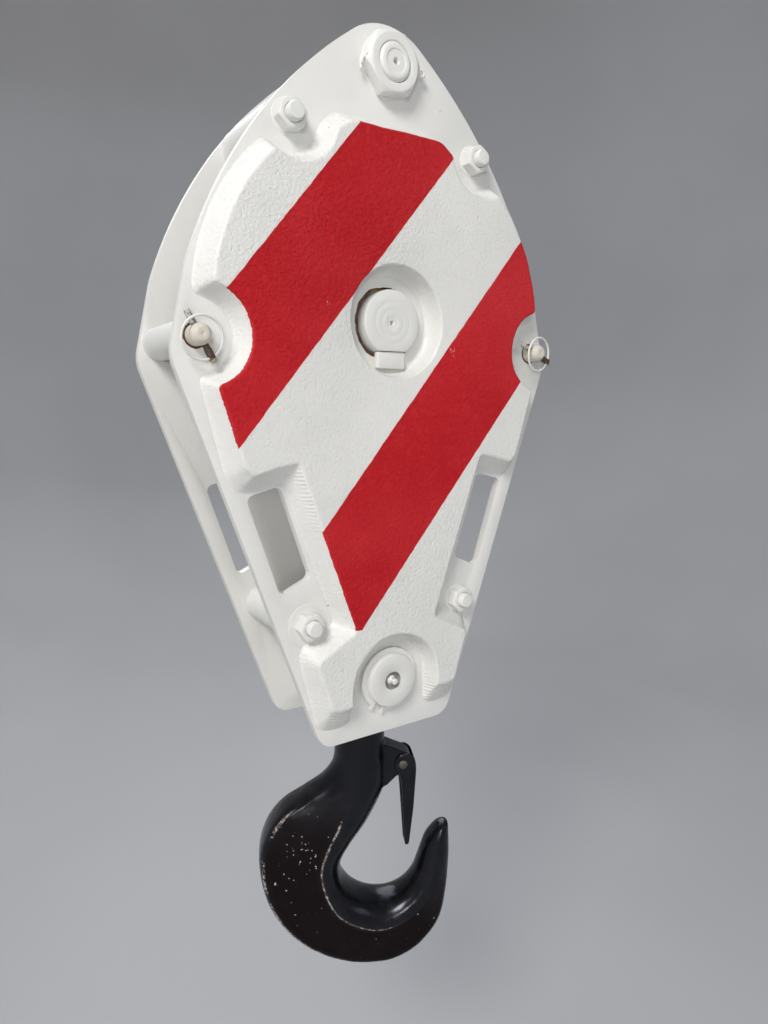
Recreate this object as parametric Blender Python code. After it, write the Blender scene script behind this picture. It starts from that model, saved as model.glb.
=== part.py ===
"""Crane hook block: one sheave for three falls of 13 mm rope, with a swivelling nine-tonne hook.

The block stands in its own frame. X runs across the side plates, Y is the direction of every pin,
with the front side plate at -Y, and Z is up. The origin is the centre of the sheave.
Every length is in metres and every angle in degrees.
"""
import math

import bmesh
import bpy
from mathutils import Vector

# ---------------------------------------------------------------- driving dimensions
GAP = 0.0003                # clearance left between pieces that touch

# side plates
PLATE_THICKNESS = 0.008
PLATE_INNER_Y = 0.042       # from the middle plane to the inner face of a plate
PLATE_OUTER_Y = PLATE_INNER_Y + PLATE_THICKNESS
PLATE_APEX_Z = 0.181        # centre of the rounded top
PLATE_APEX_RADIUS = 0.055
PLATE_SIDE_RADIUS = 0.390   # long arc that falls away from the top
PLATE_SIDE_END = (0.1745, 0.033)
PLATE_LOBE = (0.153, -0.031)
PLATE_LOBE_RADIUS = 0.035
PLATE_FOOT = (0.0566, -0.354)
PLATE_FOOT_RADIUS = 0.018
PLATE_FLANK_ANGLE = -19.5   # normal of the straight lower flank
WINDOW = ((0.1045, -0.1345), (0.1350, -0.1415), (0.1065, -0.2270), (0.0775, -0.2140))
WINDOW_CORNER = 0.006

# cheek weights, given on the outer face, with how far each wall spreads on its way to the plate
CHEEK_THICKNESS = 0.017
CHEEK_FACE_Y = PLATE_OUTER_Y + CHEEK_THICKNESS
CHEEK_TOP_Z = 0.1505
CHEEK_SIDE_RADIUS = 0.162
CHEEK_BORE_RADIUS = 0.047
UPPER_SCALLOP_RADIUS = 0.0350
GUARD_SCALLOP_RADIUS = 0.0385
ARCH_RADIUS = 0.046
SIDE_SPREAD = 0.009
SCALLOP_SPREAD = 0.0075
NOTCH_SPREAD = 0.016
LEG_SPREAD = 0.013
FOOT_SPREAD = 0.021

# pins and bolts, as (x, z) in the middle plane
UPPER_BOLT = (0.0917, 0.1477)
LOWER_BOLT = (0.0818, -0.2557)
GUARD_PIN = (0.1700, -0.0185)
BECKET_PIN = (0.0, 0.2047)
TRUNNION_Z = -0.320
BOLT_RADIUS = 0.007         # M14
BOLT_NUT_FLATS = 0.022
BOLT_NUT_HEIGHT = 0.0105
BOLT_END_Y = 0.0665
BOLT_HEAD_HEIGHT = 0.010
TIE_TUBE_RADIUS = 0.0175
GUARD_TUBE_RADIUS = 0.014
GUARD_PIN_RADIUS = 0.008
GUARD_PIN_TIP_Y = 0.0670
GUARD_HEAD_RADIUS = 0.013
LYNCH_Y = 0.0585            # height of the lynch pin over the middle plane
LYNCH_RADIUS = 0.0025
LYNCH_HOLE_RADIUS = 0.0030
LYNCH_TAIL = -0.0195        # along the lynch pin from the guard pin's centre line
LYNCH_HEAD = (0.0125, 0.0225)
LYNCH_HEAD_RADIUS = 0.0029
LYNCH_EYE = 0.0185          # where the ring passes through the head
RING_RADIUS = 0.0160
RING_WIRE = 0.0010
RING_LIFT = 9.0             # degrees the ring leans outwards to pass over the lynch pin
LYNCH_ANGLE = {"left": -61.5, "right": -24.5}
BECKET_RADIUS = 0.017
BECKET_THREAD_RADIUS = 0.015
BECKET_NUT_FLATS = 0.046
BECKET_NUT_FACE_Y = 0.0618
BECKET_END_Y = 0.0634
BECKET_SLEEVE_RADIUS = 0.022
BECKET_MOUTH = 0.018        # half the space left for the rope socket
SPLIT_PIN_RADIUS = 0.0020

# sheave, its bush and the fixed axle
AXLE_RADIUS = 0.028
AXLE_END_Y = 0.0581
AXLE_FLAT_Z = -0.0235
KEEPER = (0.0145, 0.0145, 0.0062)       # half width, height, thickness
SHEAVE_RADIUS = 0.150
SHEAVE_ROOT = 0.128
ROPE_GROOVE = 0.0071
SHEAVE_RIM_HALF = 0.0215
SHEAVE_WEB_HALF = 0.0060
SHEAVE_HUB_RADIUS = 0.056
SHEAVE_HUB_HALF = 0.034
BUSH_RADIUS = 0.038

# crosshead and thrust bearing
JOURNAL_RADIUS = 0.025
JOURNAL_END_Y = 0.0600
CROSSHEAD_SIZE = (0.050, 0.0415, 0.0375)
SHANK_RADIUS = 0.0250
RACE_RADIUS = 0.039
RACE_HEIGHT = 0.0075
CAGE_HEIGHT = 0.0100
HOOK_NUT_RADIUS = 0.036
HOOK_NUT_HEIGHT = 0.040

# hook, drawn in its own plane about the shank's axis
HOOK_TURN = -26.0           # how far the hook is swivelled out of the plane of the plates
BOWL = (0.019, -0.211)      # centre of the bowl from the trunnion
LATCH_PIVOT = (0.0420, -0.1040)
LATCH_LENGTH = 0.094
LATCH_HALF_WIDTH = 0.0140
LUG_HALF_WIDTH = 0.0110
LATCH_PIN_RADIUS = 0.004


# ---------------------------------------------------------------- small geometry helpers
def polar(radius, angle, centre=(0.0, 0.0)):
    """A point at a distance and an angle from a centre."""
    turn = math.radians(angle)
    return (centre[0] + radius * math.cos(turn), centre[1] + radius * math.sin(turn))


def arc(centre, radius, start, end, steps):
    """Points along an arc, both ends included."""
    return [polar(radius, start + (end - start) * i / steps, centre) for i in range(steps + 1)]


def circle(radius, count, centre=(0.0, 0.0)):
    """A closed ring of points."""
    return [polar(radius, 360.0 * i / count, centre) for i in range(count)]


def hexagon(flats, start=30.0, centre=(0.0, 0.0)):
    """A hexagon given its width across flats."""
    return [polar(flats / math.sqrt(3.0), start + 60.0 * i, centre) for i in range(6)]


def mirrored(half):
    """A closed outline from its right half, which runs from the top to the bottom."""
    left = [(-x, z) for x, z in reversed(half) if x > 1e-6]
    return half + left


def rounded(corners, radius, steps=3):
    """A closed polygon with every corner rounded."""
    points = []
    count = len(corners)
    for i, corner in enumerate(corners):
        here = Vector(corner)
        before = (Vector(corners[i - 1]) - here).normalized()
        after = (Vector(corners[(i + 1) % count]) - here).normalized()
        half = before.angle(after) / 2.0
        reach = radius / math.tan(half)
        middle = here + (before + after).normalized() * radius / math.sin(half)
        start = here + before * reach - middle
        end = here + after * reach - middle
        for step in range(steps + 1):
            spoke = start.lerp(end, step / steps).normalized() * radius
            points.append(tuple(middle + spoke))
    return points


def circle_crossing(centre_a, radius_a, centre_b, radius_b, pick_low):
    """Where two circles cross: the lower or the upper of the two points."""
    a, b = Vector(centre_a), Vector(centre_b)
    gap = (b - a).length
    along = (radius_a ** 2 - radius_b ** 2 + gap ** 2) / (2.0 * gap)
    side = math.sqrt(max(radius_a ** 2 - along ** 2, 0.0))
    axis = (b - a) / gap
    middle = a + axis * along
    normal = Vector((-axis.y, axis.x)) * side
    points = sorted((middle + normal, middle - normal), key=lambda p: p.y)
    return tuple(points[0] if pick_low else points[1])


def angle_of(point, centre):
    """The angle of a point seen from a centre."""
    return math.degrees(math.atan2(point[1] - centre[1], point[0] - centre[0]))


# ---------------------------------------------------------------- solids
class Solid:
    """A closed mesh made of rings, walls between rings and flat caps."""

    def __init__(self, axis="Y"):
        self.mesh = bmesh.new()
        self.axis = axis

    def place(self, point, height):
        if self.axis == "Y":
            return (point[0], height, point[1])
        if self.axis == "X":
            return (height, point[0], point[1])
        return (point[0], point[1], height)

    def ring(self, points, height):
        return [self.mesh.verts.new(self.place(p, height)) for p in points]

    def ring3(self, points):
        return [self.mesh.verts.new(p) for p in points]

    def wall(self, first, second):
        for i, corner in enumerate(first):
            follow = (i + 1) % len(first)
            self.mesh.faces.new((corner, first[follow], second[follow], second[i]))

    def edges(self, ring):
        found = []
        for i, corner in enumerate(ring):
            pair = (corner, ring[(i + 1) % len(ring)])
            found.append(self.mesh.edges.get(pair) or self.mesh.edges.new(pair))
        return found

    def cap(self, *rings):
        """Fills the flat region inside the first ring and outside the others."""
        edges = [edge for ring in rings for edge in self.edges(ring)]
        bmesh.ops.triangle_fill(self.mesh, use_beauty=True, use_dissolve=False, edges=edges)

    def fan(self, ring, point):
        """Closes a ring with a point."""
        tip = self.mesh.verts.new(point)
        for i, corner in enumerate(ring):
            self.mesh.faces.new((corner, ring[(i + 1) % len(ring)], tip))

    def finish(self, name, material, parent=None, location=(0.0, 0.0, 0.0), sharp=35.0):
        bmesh.ops.recalc_face_normals(self.mesh, faces=self.mesh.faces)
        mesh = bpy.data.meshes.new(name)
        self.mesh.to_mesh(mesh)
        self.mesh.free()
        mesh.shade_smooth()
        mesh.set_sharp_from_angle(angle=math.radians(sharp))
        mesh.materials.append(material)
        made = bpy.data.objects.new(name, mesh)
        bpy.context.collection.objects.link(made)
        made.location = location
        made.parent = parent
        return made


def stack(levels, axis="Y"):
    """A solid with one outline per level, closed at both ends."""
    solid = Solid(axis)
    rings = [solid.ring(points, height) for height, points in levels]
    for first, second in zip(rings, rings[1:]):
        solid.wall(first, second)
    solid.cap(rings[0])
    solid.cap(rings[-1])
    return solid


def turned(profile, count, axis="Y"):
    """A ring turned from a closed profile of (radius, height) points."""
    solid = Solid(axis)
    rings = [solid.ring(circle(radius, count), height) for radius, height in profile]
    for i, ring in enumerate(rings):
        solid.wall(ring, rings[(i + 1) % len(rings)])
    return solid


def tube(outer, inner, start, end, count, axis="Y"):
    """A plain tube or washer."""
    return turned([(outer, start), (outer, end), (inner, end), (inner, start)], count, axis)


def slab(levels):
    """A plate with holes: each level is (y, outline, [holes])."""
    solid = Solid("Y")
    sets = []
    for height, outline, holes in levels:
        sets.append([solid.ring(points, height) for points in [outline] + holes])
    for first, second in zip(sets, sets[1:]):
        for ring_a, ring_b in zip(first, second):
            solid.wall(ring_a, ring_b)
    solid.cap(*sets[0])
    solid.cap(*sets[-1])
    return solid


def empty(name, location, parent=None, rotation=(0.0, 0.0, 0.0)):
    """A frame that other pieces are placed in."""
    made = bpy.data.objects.new(name, None)
    bpy.context.collection.objects.link(made)
    made.location = location
    made.rotation_euler = [math.radians(angle) for angle in rotation]
    made.parent = parent
    return made


def cut(target, cutter):
    """Subtracts a hidden cutter from a piece."""
    cutter.hide_render = True
    cutter.display_type = "WIRE"
    change = target.modifiers.new("cut " + cutter.name, "BOOLEAN")
    change.operation = "DIFFERENCE"
    change.solver = "EXACT"
    change.object = cutter


def paint(name, colour, roughness, metallic=0.0):
    """A plain Principled material."""
    made = bpy.data.materials.new(name)
    made.use_nodes = True
    shader = made.node_tree.nodes["Principled BSDF"]
    shader.inputs["Base Color"].default_value = (*colour, 1.0)
    shader.inputs["Roughness"].default_value = roughness
    shader.inputs["Metallic"].default_value = metallic
    return made


# ---------------------------------------------------------------- outlines of the plates
def plate_outline():
    """Half of a side plate from its top to its bottom, then mirrored."""
    apex = (0.0, PLATE_APEX_Z)
    half = arc(apex, PLATE_APEX_RADIUS, 90.0, 51.4, 5)
    half += side_arc(half[-1], PLATE_SIDE_END, PLATE_SIDE_RADIUS, 9)[1:]
    half += arc(PLATE_LOBE, PLATE_LOBE_RADIUS, 12.5, PLATE_FLANK_ANGLE, 4)
    half += arc(PLATE_FOOT, PLATE_FOOT_RADIUS, PLATE_FLANK_ANGLE, -90.0, 5)
    return mirrored(half)


def side_arc(start, end, radius, steps):
    """An arc of a given radius that bulges outwards between two points."""
    first, last = Vector(start), Vector(end)
    chord = last - first
    inward = Vector((chord.y, -chord.x)).normalized() * -1.0
    inward = inward if inward.x < 0.0 else -inward
    height = math.sqrt(radius ** 2 - (chord.length / 2.0) ** 2)
    centre = (first + last) / 2.0 + inward * height
    return arc(tuple(centre), radius, angle_of(start, centre), angle_of(end, centre), steps)


def window(side):
    """A window in the lower flank of a plate."""
    corners = [(side * x, z) for x, z in WINDOW]
    return rounded(corners, WINDOW_CORNER)


def cheek_outline(spread):
    """Outline of a cheek weight: spread 0 on its outer face, 1 where it meets the plate."""
    top = CHEEK_TOP_Z + SIDE_SPREAD * spread
    side = CHEEK_SIDE_RADIUS + SIDE_SPREAD * spread
    upper = UPPER_SCALLOP_RADIUS - SCALLOP_SPREAD * spread
    guard = GUARD_SCALLOP_RADIUS - SCALLOP_SPREAD * spread
    corner = circle_crossing((0.0, 0.0), side, UPPER_BOLT, upper, True)
    shoulder = circle_crossing((0.0, 0.0), side, GUARD_PIN, guard, False)
    top_corner = (0.0440 + 0.006 * spread, top)
    scallop_start = 189.0 - 6.0 * spread
    half = [(0.0, top), top_corner]
    half += arc(UPPER_BOLT, upper, scallop_start, 360.0 + angle_of(corner, UPPER_BOLT), 8)
    half += arc((0.0, 0.0), side, angle_of(corner, (0, 0)), angle_of(shoulder, (0, 0)), 6)[1:]
    flank_top = (0.1590 + 0.0085 * spread, -0.0580 + 0.006 * spread)
    start = angle_of(shoulder, GUARD_PIN)
    half += arc(GUARD_PIN, guard, start, 360.0 + angle_of(flank_top, GUARD_PIN), 8)[1:]
    half += [(0.1405 + 0.0090 * spread, -0.1170 - 0.008 * spread),
             (0.1330 + 0.0060 * spread, -0.1240 - NOTCH_SPREAD * 0.8 * spread),
             (0.1130 + 0.0020 * spread, -0.1180 - NOTCH_SPREAD * spread),
             (0.0950 + 0.0070 * spread, -0.1150 - NOTCH_SPREAD * spread),
             (0.0420 + LEG_SPREAD * spread, -0.2640 + 0.006 * spread),
             (0.0790 + 0.0090 * spread, -0.2835 + 0.008 * spread),
             (0.0812 + SIDE_SPREAD * spread, -0.2875 + 0.004 * spread),
             (0.0675 + SIDE_SPREAD * 0.6 * spread, -0.3305 - FOOT_SPREAD * spread),
             (0.0600, -0.3330 - FOOT_SPREAD * spread),
             (ARCH_RADIUS - 0.004 * spread, -0.3320 - FOOT_SPREAD * spread)]
    half += arc((0.0, TRUNNION_Z), ARCH_RADIUS - 0.004 * spread, 0.0, 90.0, 7)
    return mirrored(half)


# ---------------------------------------------------------------- the frame
def side_plate(name, material, side):
    """A flame-cut side plate with its bores and windows."""
    outline = plate_outline()
    holes = [circle(0.0295, 32),
             circle(BECKET_RADIUS + 2 * GAP, 24, BECKET_PIN),
             circle(JOURNAL_RADIUS + 2 * GAP, 36, (0.0, TRUNNION_Z)),
             window(1), window(-1)]
    for (x, z), radius in ((UPPER_BOLT, BOLT_RADIUS), (LOWER_BOLT, BOLT_RADIUS), (GUARD_PIN, GUARD_PIN_RADIUS)):
        holes += [circle(radius + GAP, 12, (x, z)), circle(radius + GAP, 12, (-x, z))]
    solid = slab([(side * PLATE_OUTER_Y, outline, holes), (side * PLATE_INNER_Y, outline, holes)])
    return solid.finish(name, material)


def cheek_weight(name, material, side):
    """A thick cast weight with sloping walls, scalloped round the pins."""
    face = (side * CHEEK_FACE_Y, cheek_outline(0.0), [circle(CHEEK_BORE_RADIUS, 40)])
    foot = (side * (PLATE_OUTER_Y + GAP), cheek_outline(1.0), [circle(CHEEK_BORE_RADIUS - 0.003, 40)])
    return slab([face, foot]).finish(name, material)


def tie_bolt(name, material, place):
    """A hexagon bolt along Y, its head behind the rear plate."""
    head = hexagon(BOLT_NUT_FLATS)
    under = PLATE_OUTER_Y + GAP
    solid = Solid()
    back = solid.ring(head, under + BOLT_HEAD_HEIGHT)
    front = solid.ring(head, under)
    shank = solid.ring(circle(BOLT_RADIUS, 12), under)
    end = solid.ring(circle(BOLT_RADIUS, 12), -BOLT_END_Y + 0.0018)
    tip = solid.ring(circle(BOLT_RADIUS - 0.0016, 12), -BOLT_END_Y)
    solid.cap(back)
    solid.wall(back, front)
    solid.cap(front, shank)
    solid.wall(shank, end)
    solid.wall(end, tip)
    solid.cap(tip)
    return solid.finish(name, material, location=(place[0], 0.0, place[1]))


def chamfered_nut(flats, start, end, bore_radius):
    """A hexagon nut with its outer corners turned off."""
    corners = [polar(flats / (math.sqrt(3.0) if i % 2 == 0 else 2.0), 30.0 + 30.0 * i) for i in range(12)]
    bore = circle(bore_radius + GAP, 24)
    shoulder = end - math.copysign(flats * 0.07, end - start)
    turned_off = circle(flats * 0.475, 12)
    turned_off = turned_off[1:] + turned_off[:1]
    return slab([(start, corners, [bore]), (shoulder, corners, [bore]), (end, turned_off, [bore])])


def tie_nut(name, material, place):
    """A hexagon nut on the front end of a tie bolt."""
    start = -PLATE_OUTER_Y - GAP
    solid = chamfered_nut(BOLT_NUT_FLATS, start, start - BOLT_NUT_HEIGHT, BOLT_RADIUS)
    return solid.finish(name, material, location=(place[0], 0.0, place[1]))


def spacer_tube(name, material, place, radius, bore):
    """A tube that holds the plates apart, round a bolt or pin."""
    half = PLATE_INNER_Y - GAP
    solid = tube(radius, bore + 0.0010, -half, half, 18)
    return solid.finish(name, material, location=(place[0], 0.0, place[1]))


def becket_group(steel, painted):
    """The pin at the top that takes the dead end of the rope, its nut, split pin and sleeves."""
    place = (BECKET_PIN[0], 0.0, BECKET_PIN[1])
    under = PLATE_OUTER_Y + GAP
    solid = Solid()
    rings = [solid.ring(circle(0.0235, 28), under + 0.009), solid.ring(circle(0.0250, 28), under + 0.0075),
             solid.ring(circle(0.0250, 28), under)]
    body = [solid.ring(circle(BECKET_RADIUS, 28), under), solid.ring(circle(BECKET_RADIUS, 28), -0.0498),
            solid.ring(circle(BECKET_THREAD_RADIUS, 28), -0.0502),
            solid.ring(circle(BECKET_THREAD_RADIUS, 28), -BECKET_END_Y + 0.0018),
            solid.ring(circle(BECKET_THREAD_RADIUS - 0.0022, 28), -BECKET_END_Y)]
    solid.cap(rings[0])
    for first, second in list(zip(rings, rings[1:])) + list(zip(body, body[1:])):
        solid.wall(first, second)
    solid.cap(rings[-1], body[0])
    solid.cap(body[-1])
    pin = solid.finish("becket_pin", steel, location=place)

    nut = chamfered_nut(BECKET_NUT_FLATS, -PLATE_OUTER_Y - GAP, -BECKET_NUT_FACE_Y, BECKET_THREAD_RADIUS)
    nut = nut.finish("becket_nut", painted, location=place)
    slot_y = -PLATE_OUTER_Y - 0.0062
    for target, name in ((nut, "becket_nut_hole"), (pin, "split_pin_hole")):
        drill = stack([(x, circle(SPLIT_PIN_RADIUS + GAP, 12)) for x in (-0.03, 0.03)], "X")
        cut(target, drill.finish(name, painted, location=(place[0], slot_y, place[2])))
    split_pin(steel, (place[0], slot_y, place[2]))

    for name, side in (("becket_sleeve_front", -1), ("becket_sleeve_rear", 1)):
        ends = sorted((side * BECKET_MOUTH, side * (PLATE_INNER_Y - GAP)))
        sleeve = tube(BECKET_SLEEVE_RADIUS, BECKET_RADIUS + GAP, ends[0], ends[1], 28)
        sleeve.finish(name, painted, location=place)


def box_cutter(name, size, location):
    """A hidden block of the given half sizes."""
    corners = [(-size[0], -size[2]), (size[0], -size[2]), (size[0], size[2]), (-size[0], size[2])]
    block = stack([(-size[1], corners), (size[1], corners)])
    made = block.finish(name, None, location=location)
    made.hide_render = True
    made.display_type = "WIRE"
    return made


def swept(points, radius, count):
    """A round wire along a list of points, closed at both ends."""
    solid = Solid()
    path = [Vector(p) for p in points]
    rings = []
    for i, point in enumerate(path):
        ahead = path[min(i + 1, len(path) - 1)] - path[max(i - 1, 0)]
        ahead.normalize()
        side = ahead.cross(Vector((0.0, 1.0, 0.0))).normalized()
        lift = side.cross(ahead)
        ring = []
        for a, b in circle(radius, count):
            ring.append(tuple(point + side * a + lift * b))
        rings.append(solid.ring3(ring))
    for first, second in zip(rings, rings[1:]):
        solid.wall(first, second)
    solid.fan(rings[0], path[0] - (path[1] - path[0]).normalized() * radius * 0.4)
    solid.fan(rings[-1], path[-1] + (path[-1] - path[-2]).normalized() * radius * 0.4)
    return solid


def split_pin(material, place):
    """A split pin through the nut, with its eye to the right and its legs bent down on the left."""
    path = [(0.0345, 0.0, 0.0), (0.027, 0.0, 0.0), (-0.025, 0.0, 0.0), (-0.0278, 0.0, -0.0012),
            (-0.0290, 0.0, -0.0040), (-0.0292, 0.0, -0.0130)]
    swept(path, SPLIT_PIN_RADIUS * 0.85, 8).finish("becket_split_pin", material, location=place)


def axle_group(steel, painted, bronze):
    """The fixed axle, its keepers, its grease nipple and the side washers of the sheave."""
    ends = [(AXLE_END_Y, AXLE_RADIUS - 0.0015), (AXLE_END_Y - 0.0015, AXLE_RADIUS)]
    levels = [(-y, circle(radius, 32)) for y, radius in ends]
    levels += [(y, circle(radius, 32)) for y, radius in reversed(ends)]
    axle = stack(levels).finish("sheave_axle", painted)
    for side, name in ((-1, "front"), (1, "rear")):
        middle = side * (PLATE_OUTER_Y + 0.010)
        cutter = box_cutter("axle_flat_" + name, (0.03, 0.0102, 0.010), (0.0, middle, AXLE_FLAT_Z - 0.010))
        cut(axle, cutter)
        width, height, thick = KEEPER
        top = AXLE_FLAT_Z - GAP
        corners = [(-width, top), (-width, top - height), (width, top - height), (width, top)]
        start = side * (PLATE_OUTER_Y + GAP)
        keeper = stack([(start, corners), (start + side * thick, corners)])
        keeper.finish("axle_keeper_" + name, painted)
        ends = sorted((side * (SHEAVE_HUB_HALF + GAP), side * (PLATE_INNER_Y - GAP)))
        washer = tube(0.046, AXLE_RADIUS + GAP, ends[0], ends[1], 32)
        washer.finish("sheave_side_washer_" + name, bronze)
    nipple("axle_grease_nipple", steel, None, (0.0, AXLE_END_Y + GAP, 0.0), 1)


def nipple(name, material, parent, location, side):
    """A small grease nipple that points along Y."""
    profile = [(0.0, 0.0045), (0.0022, 0.0045), (0.0042, 0.0026), (0.0048, 0.0020), (0.0082, 0.0030),
               (0.0095, 0.0022)]
    levels = [(side * height, circle(radius, 10)) for height, radius in profile]
    return stack(levels).finish(name, material, parent, location)


def guard_pin(side, name, steel, rusty):
    """A rope guard pin with its lynch pin and ring; it turns freely and draws out to the rear."""
    place = (side * GUARD_PIN[0], 0.0, GUARD_PIN[1])
    under = PLATE_OUTER_Y + GAP
    solid = Solid()
    head = [solid.ring(circle(GUARD_HEAD_RADIUS - 0.001, 16), under + 0.006),
            solid.ring(circle(GUARD_HEAD_RADIUS, 16), under + 0.005),
            solid.ring(circle(GUARD_HEAD_RADIUS, 16), under)]
    body = [solid.ring(circle(GUARD_PIN_RADIUS, 16), under),
            solid.ring(circle(GUARD_PIN_RADIUS, 16), -GUARD_PIN_TIP_Y + 0.0035),
            solid.ring(circle(GUARD_PIN_RADIUS - 0.0028, 16), -GUARD_PIN_TIP_Y)]
    solid.cap(head[0])
    for first, second in list(zip(head, head[1:])) + list(zip(body, body[1:])):
        solid.wall(first, second)
    solid.cap(head[-1], body[0])
    solid.cap(body[-1])
    pin = solid.finish("guard_pin_" + name, steel, location=place)
    angle = LYNCH_ANGLE[name]
    frame = empty("lynch_frame_" + name, (place[0], -LYNCH_Y, place[2]), rotation=(0.0, -angle, 0.0))
    hole = stack([(x, circle(LYNCH_HOLE_RADIUS, 12)) for x in (-0.012, 0.012)], "X")
    cut(pin, hole.finish("lynch_hole_" + name, steel, frame))

    start, end = LYNCH_HEAD
    levels = [(LYNCH_TAIL, 0.0012), (LYNCH_TAIL + 0.003, LYNCH_RADIUS), (start - 0.0015, LYNCH_RADIUS),
              (start, LYNCH_HEAD_RADIUS), (end - 0.002, LYNCH_HEAD_RADIUS), (end, LYNCH_HEAD_RADIUS - 0.0018)]
    lynch = stack([(x, circle(radius, 12)) for x, radius in levels], "X")
    lynch = lynch.finish("lynch_pin_" + name, rusty, frame)
    eye = stack([(z, circle(RING_WIRE + 0.0009, 10)) for z in (-0.006, 0.006)], "Z")
    cut(lynch, eye.finish("ring_eye_" + name, rusty, frame, (LYNCH_EYE, 0.0, 0.0)))

    ring = Solid()
    rings = []
    steps = 24
    for step in range(steps):
        turn = math.radians(360.0 * step / steps)
        spoke = Vector((math.cos(turn), 0.0, math.sin(turn)))
        centre = spoke * RING_RADIUS - Vector((RING_RADIUS, 0.0, 0.0))
        points = [centre + spoke * a + Vector((0.0, b, 0.0)) for a, b in circle(RING_WIRE, 5)]
        rings.append(ring.ring3(points))
    for i, current in enumerate(rings):
        ring.wall(current, rings[(i + 1) % steps])
    made = ring.finish("lynch_ring_" + name, steel, frame, (LYNCH_EYE, 0.0, 0.0))
    made.rotation_euler = (0.0, 0.0, math.radians(RING_LIFT))


# ---------------------------------------------------------------- sheave
def sheave_group(steel, bronze):
    """The rope sheave with its bronze bush; the two flanges are pieces of their own beside the groove."""
    root = [(SHEAVE_ROOT + ROPE_GROOVE * (1.0 - math.cos(math.radians(a))),
             ROPE_GROOVE * math.sin(math.radians(a))) for a in (-60.0, -30.0, 0.0, 30.0, 60.0)]
    lip, seam = root[-1][1], SHEAVE_ROOT - 0.006
    half = [(seam, -lip), (0.116, -SHEAVE_WEB_HALF), (0.066, -SHEAVE_WEB_HALF),
            (SHEAVE_HUB_RADIUS, -SHEAVE_WEB_HALF - 0.007), (SHEAVE_HUB_RADIUS, -SHEAVE_HUB_HALF),
            (BUSH_RADIUS + GAP, -SHEAVE_HUB_HALF)]
    profile = half + [(r, -h) for r, h in reversed(half)] + list(reversed(root))
    turned(profile, 48).finish("sheave", steel)
    for name, side in (("front", -1), ("rear", 1)):
        inner = lip + GAP
        flange = [(seam, inner), (root[-1][0], inner), (SHEAVE_RADIUS, SHEAVE_RIM_HALF - 0.0075),
                  (SHEAVE_RADIUS, SHEAVE_RIM_HALF - 0.002), (SHEAVE_RADIUS - 0.002, SHEAVE_RIM_HALF),
                  (seam + 0.004, SHEAVE_RIM_HALF - 0.005)]
        turned([(r, side * y) for r, y in flange], 48).finish("sheave_flange_" + name, steel)
    bush = tube(BUSH_RADIUS, AXLE_RADIUS + GAP, -SHEAVE_HUB_HALF, SHEAVE_HUB_HALF, 32)
    bush.finish("sheave_bush", bronze)


# ---------------------------------------------------------------- crosshead
def crosshead_group(steel, painted):
    """The trunnion that carries the hook, with its circlips and nipples."""
    frame = empty("crosshead_frame", (0.0, 0.0, TRUNNION_Z))
    width, depth, height = CROSSHEAD_SIZE
    corners = [(-width, -depth), (width, -depth), (width, depth), (-width, depth)]
    outline = rounded(corners, 0.022, 4)
    inner = rounded([(x * 0.95, y * 0.95) for x, y in corners], 0.021, 4)
    block = stack([(-height, inner), (-height + 0.0025, outline), (height - 0.0025, outline),
                   (height, inner)], "Z")
    block = block.finish("crosshead", painted, frame)
    journal_levels = [(-JOURNAL_END_Y, JOURNAL_RADIUS - 0.0015), (-JOURNAL_END_Y + 0.0015, JOURNAL_RADIUS),
                      (JOURNAL_END_Y - 0.0015, JOURNAL_RADIUS), (JOURNAL_END_Y, JOURNAL_RADIUS - 0.0015)]
    journals = stack([(y, circle(radius, 32)) for y, radius in journal_levels])
    journals = journals.finish("journals", painted, frame)
    journals.hide_render = True
    journals.display_type = "WIRE"
    join = block.modifiers.new("join journals", "BOOLEAN")
    join.operation = "UNION"
    join.solver = "EXACT"
    join.object = journals
    bore = stack([(z, circle(SHANK_RADIUS + 0.0005, 32)) for z in (-0.06, 0.06)], "Z")
    cut(block, bore.finish("shank_bore", painted, frame))
    for side, name in ((-1, "front"), (1, "rear")):
        recess = stack([(side * (JOURNAL_END_Y - 0.006), circle(0.0085, 14)),
                        (side * (JOURNAL_END_Y + 0.004), circle(0.0085, 14))])
        cut(block, recess.finish("nipple_recess_" + name, painted, frame))
        groove_start, groove_end = sorted((side * 0.0520, side * 0.0542))
        groove = tube(JOURNAL_RADIUS + 0.004, JOURNAL_RADIUS - 0.0012, groove_start, groove_end, 32)
        cut(block, groove.finish("circlip_groove_" + name, painted, frame))
        circlip("journal_circlip_" + name, steel, frame, side)
        nipple("journal_grease_nipple_" + name, steel, frame,
               (0.0, side * (JOURNAL_END_Y - 0.006 + GAP), 0.0), side)
    base = CROSSHEAD_SIZE[2] + GAP
    washer = tube(RACE_RADIUS, SHANK_RADIUS + 0.0008, base, base + RACE_HEIGHT, 32, "Z")
    washer.finish("thrust_race_lower", steel, frame)
    return frame


def circlip(name, material, parent, side):
    """An outside circlip with two eyes, open at the lower left."""
    inner, outer = JOURNAL_RADIUS - 0.0007, JOURNAL_RADIUS + 0.0046
    opening = -118.0
    ears = 9.0
    outside = arc((0, 0), outer, opening + ears + 5.0, opening + 360.0 - ears - 5.0, 26)
    inside = arc((0, 0), inner, opening + 360.0 - ears, opening + ears, 26)
    outline = [polar(outer + 0.0035, opening + ears), polar(outer + 0.0035, opening + ears + 5.0)] + outside
    outline += [polar(outer + 0.0035, opening - ears - 5.0), polar(outer + 0.0035, opening - ears)] + inside
    start, end = side * 0.0523, side * 0.0539
    solid = stack([(start, outline), (end, outline)])
    return solid.finish(name, material, parent)


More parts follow.
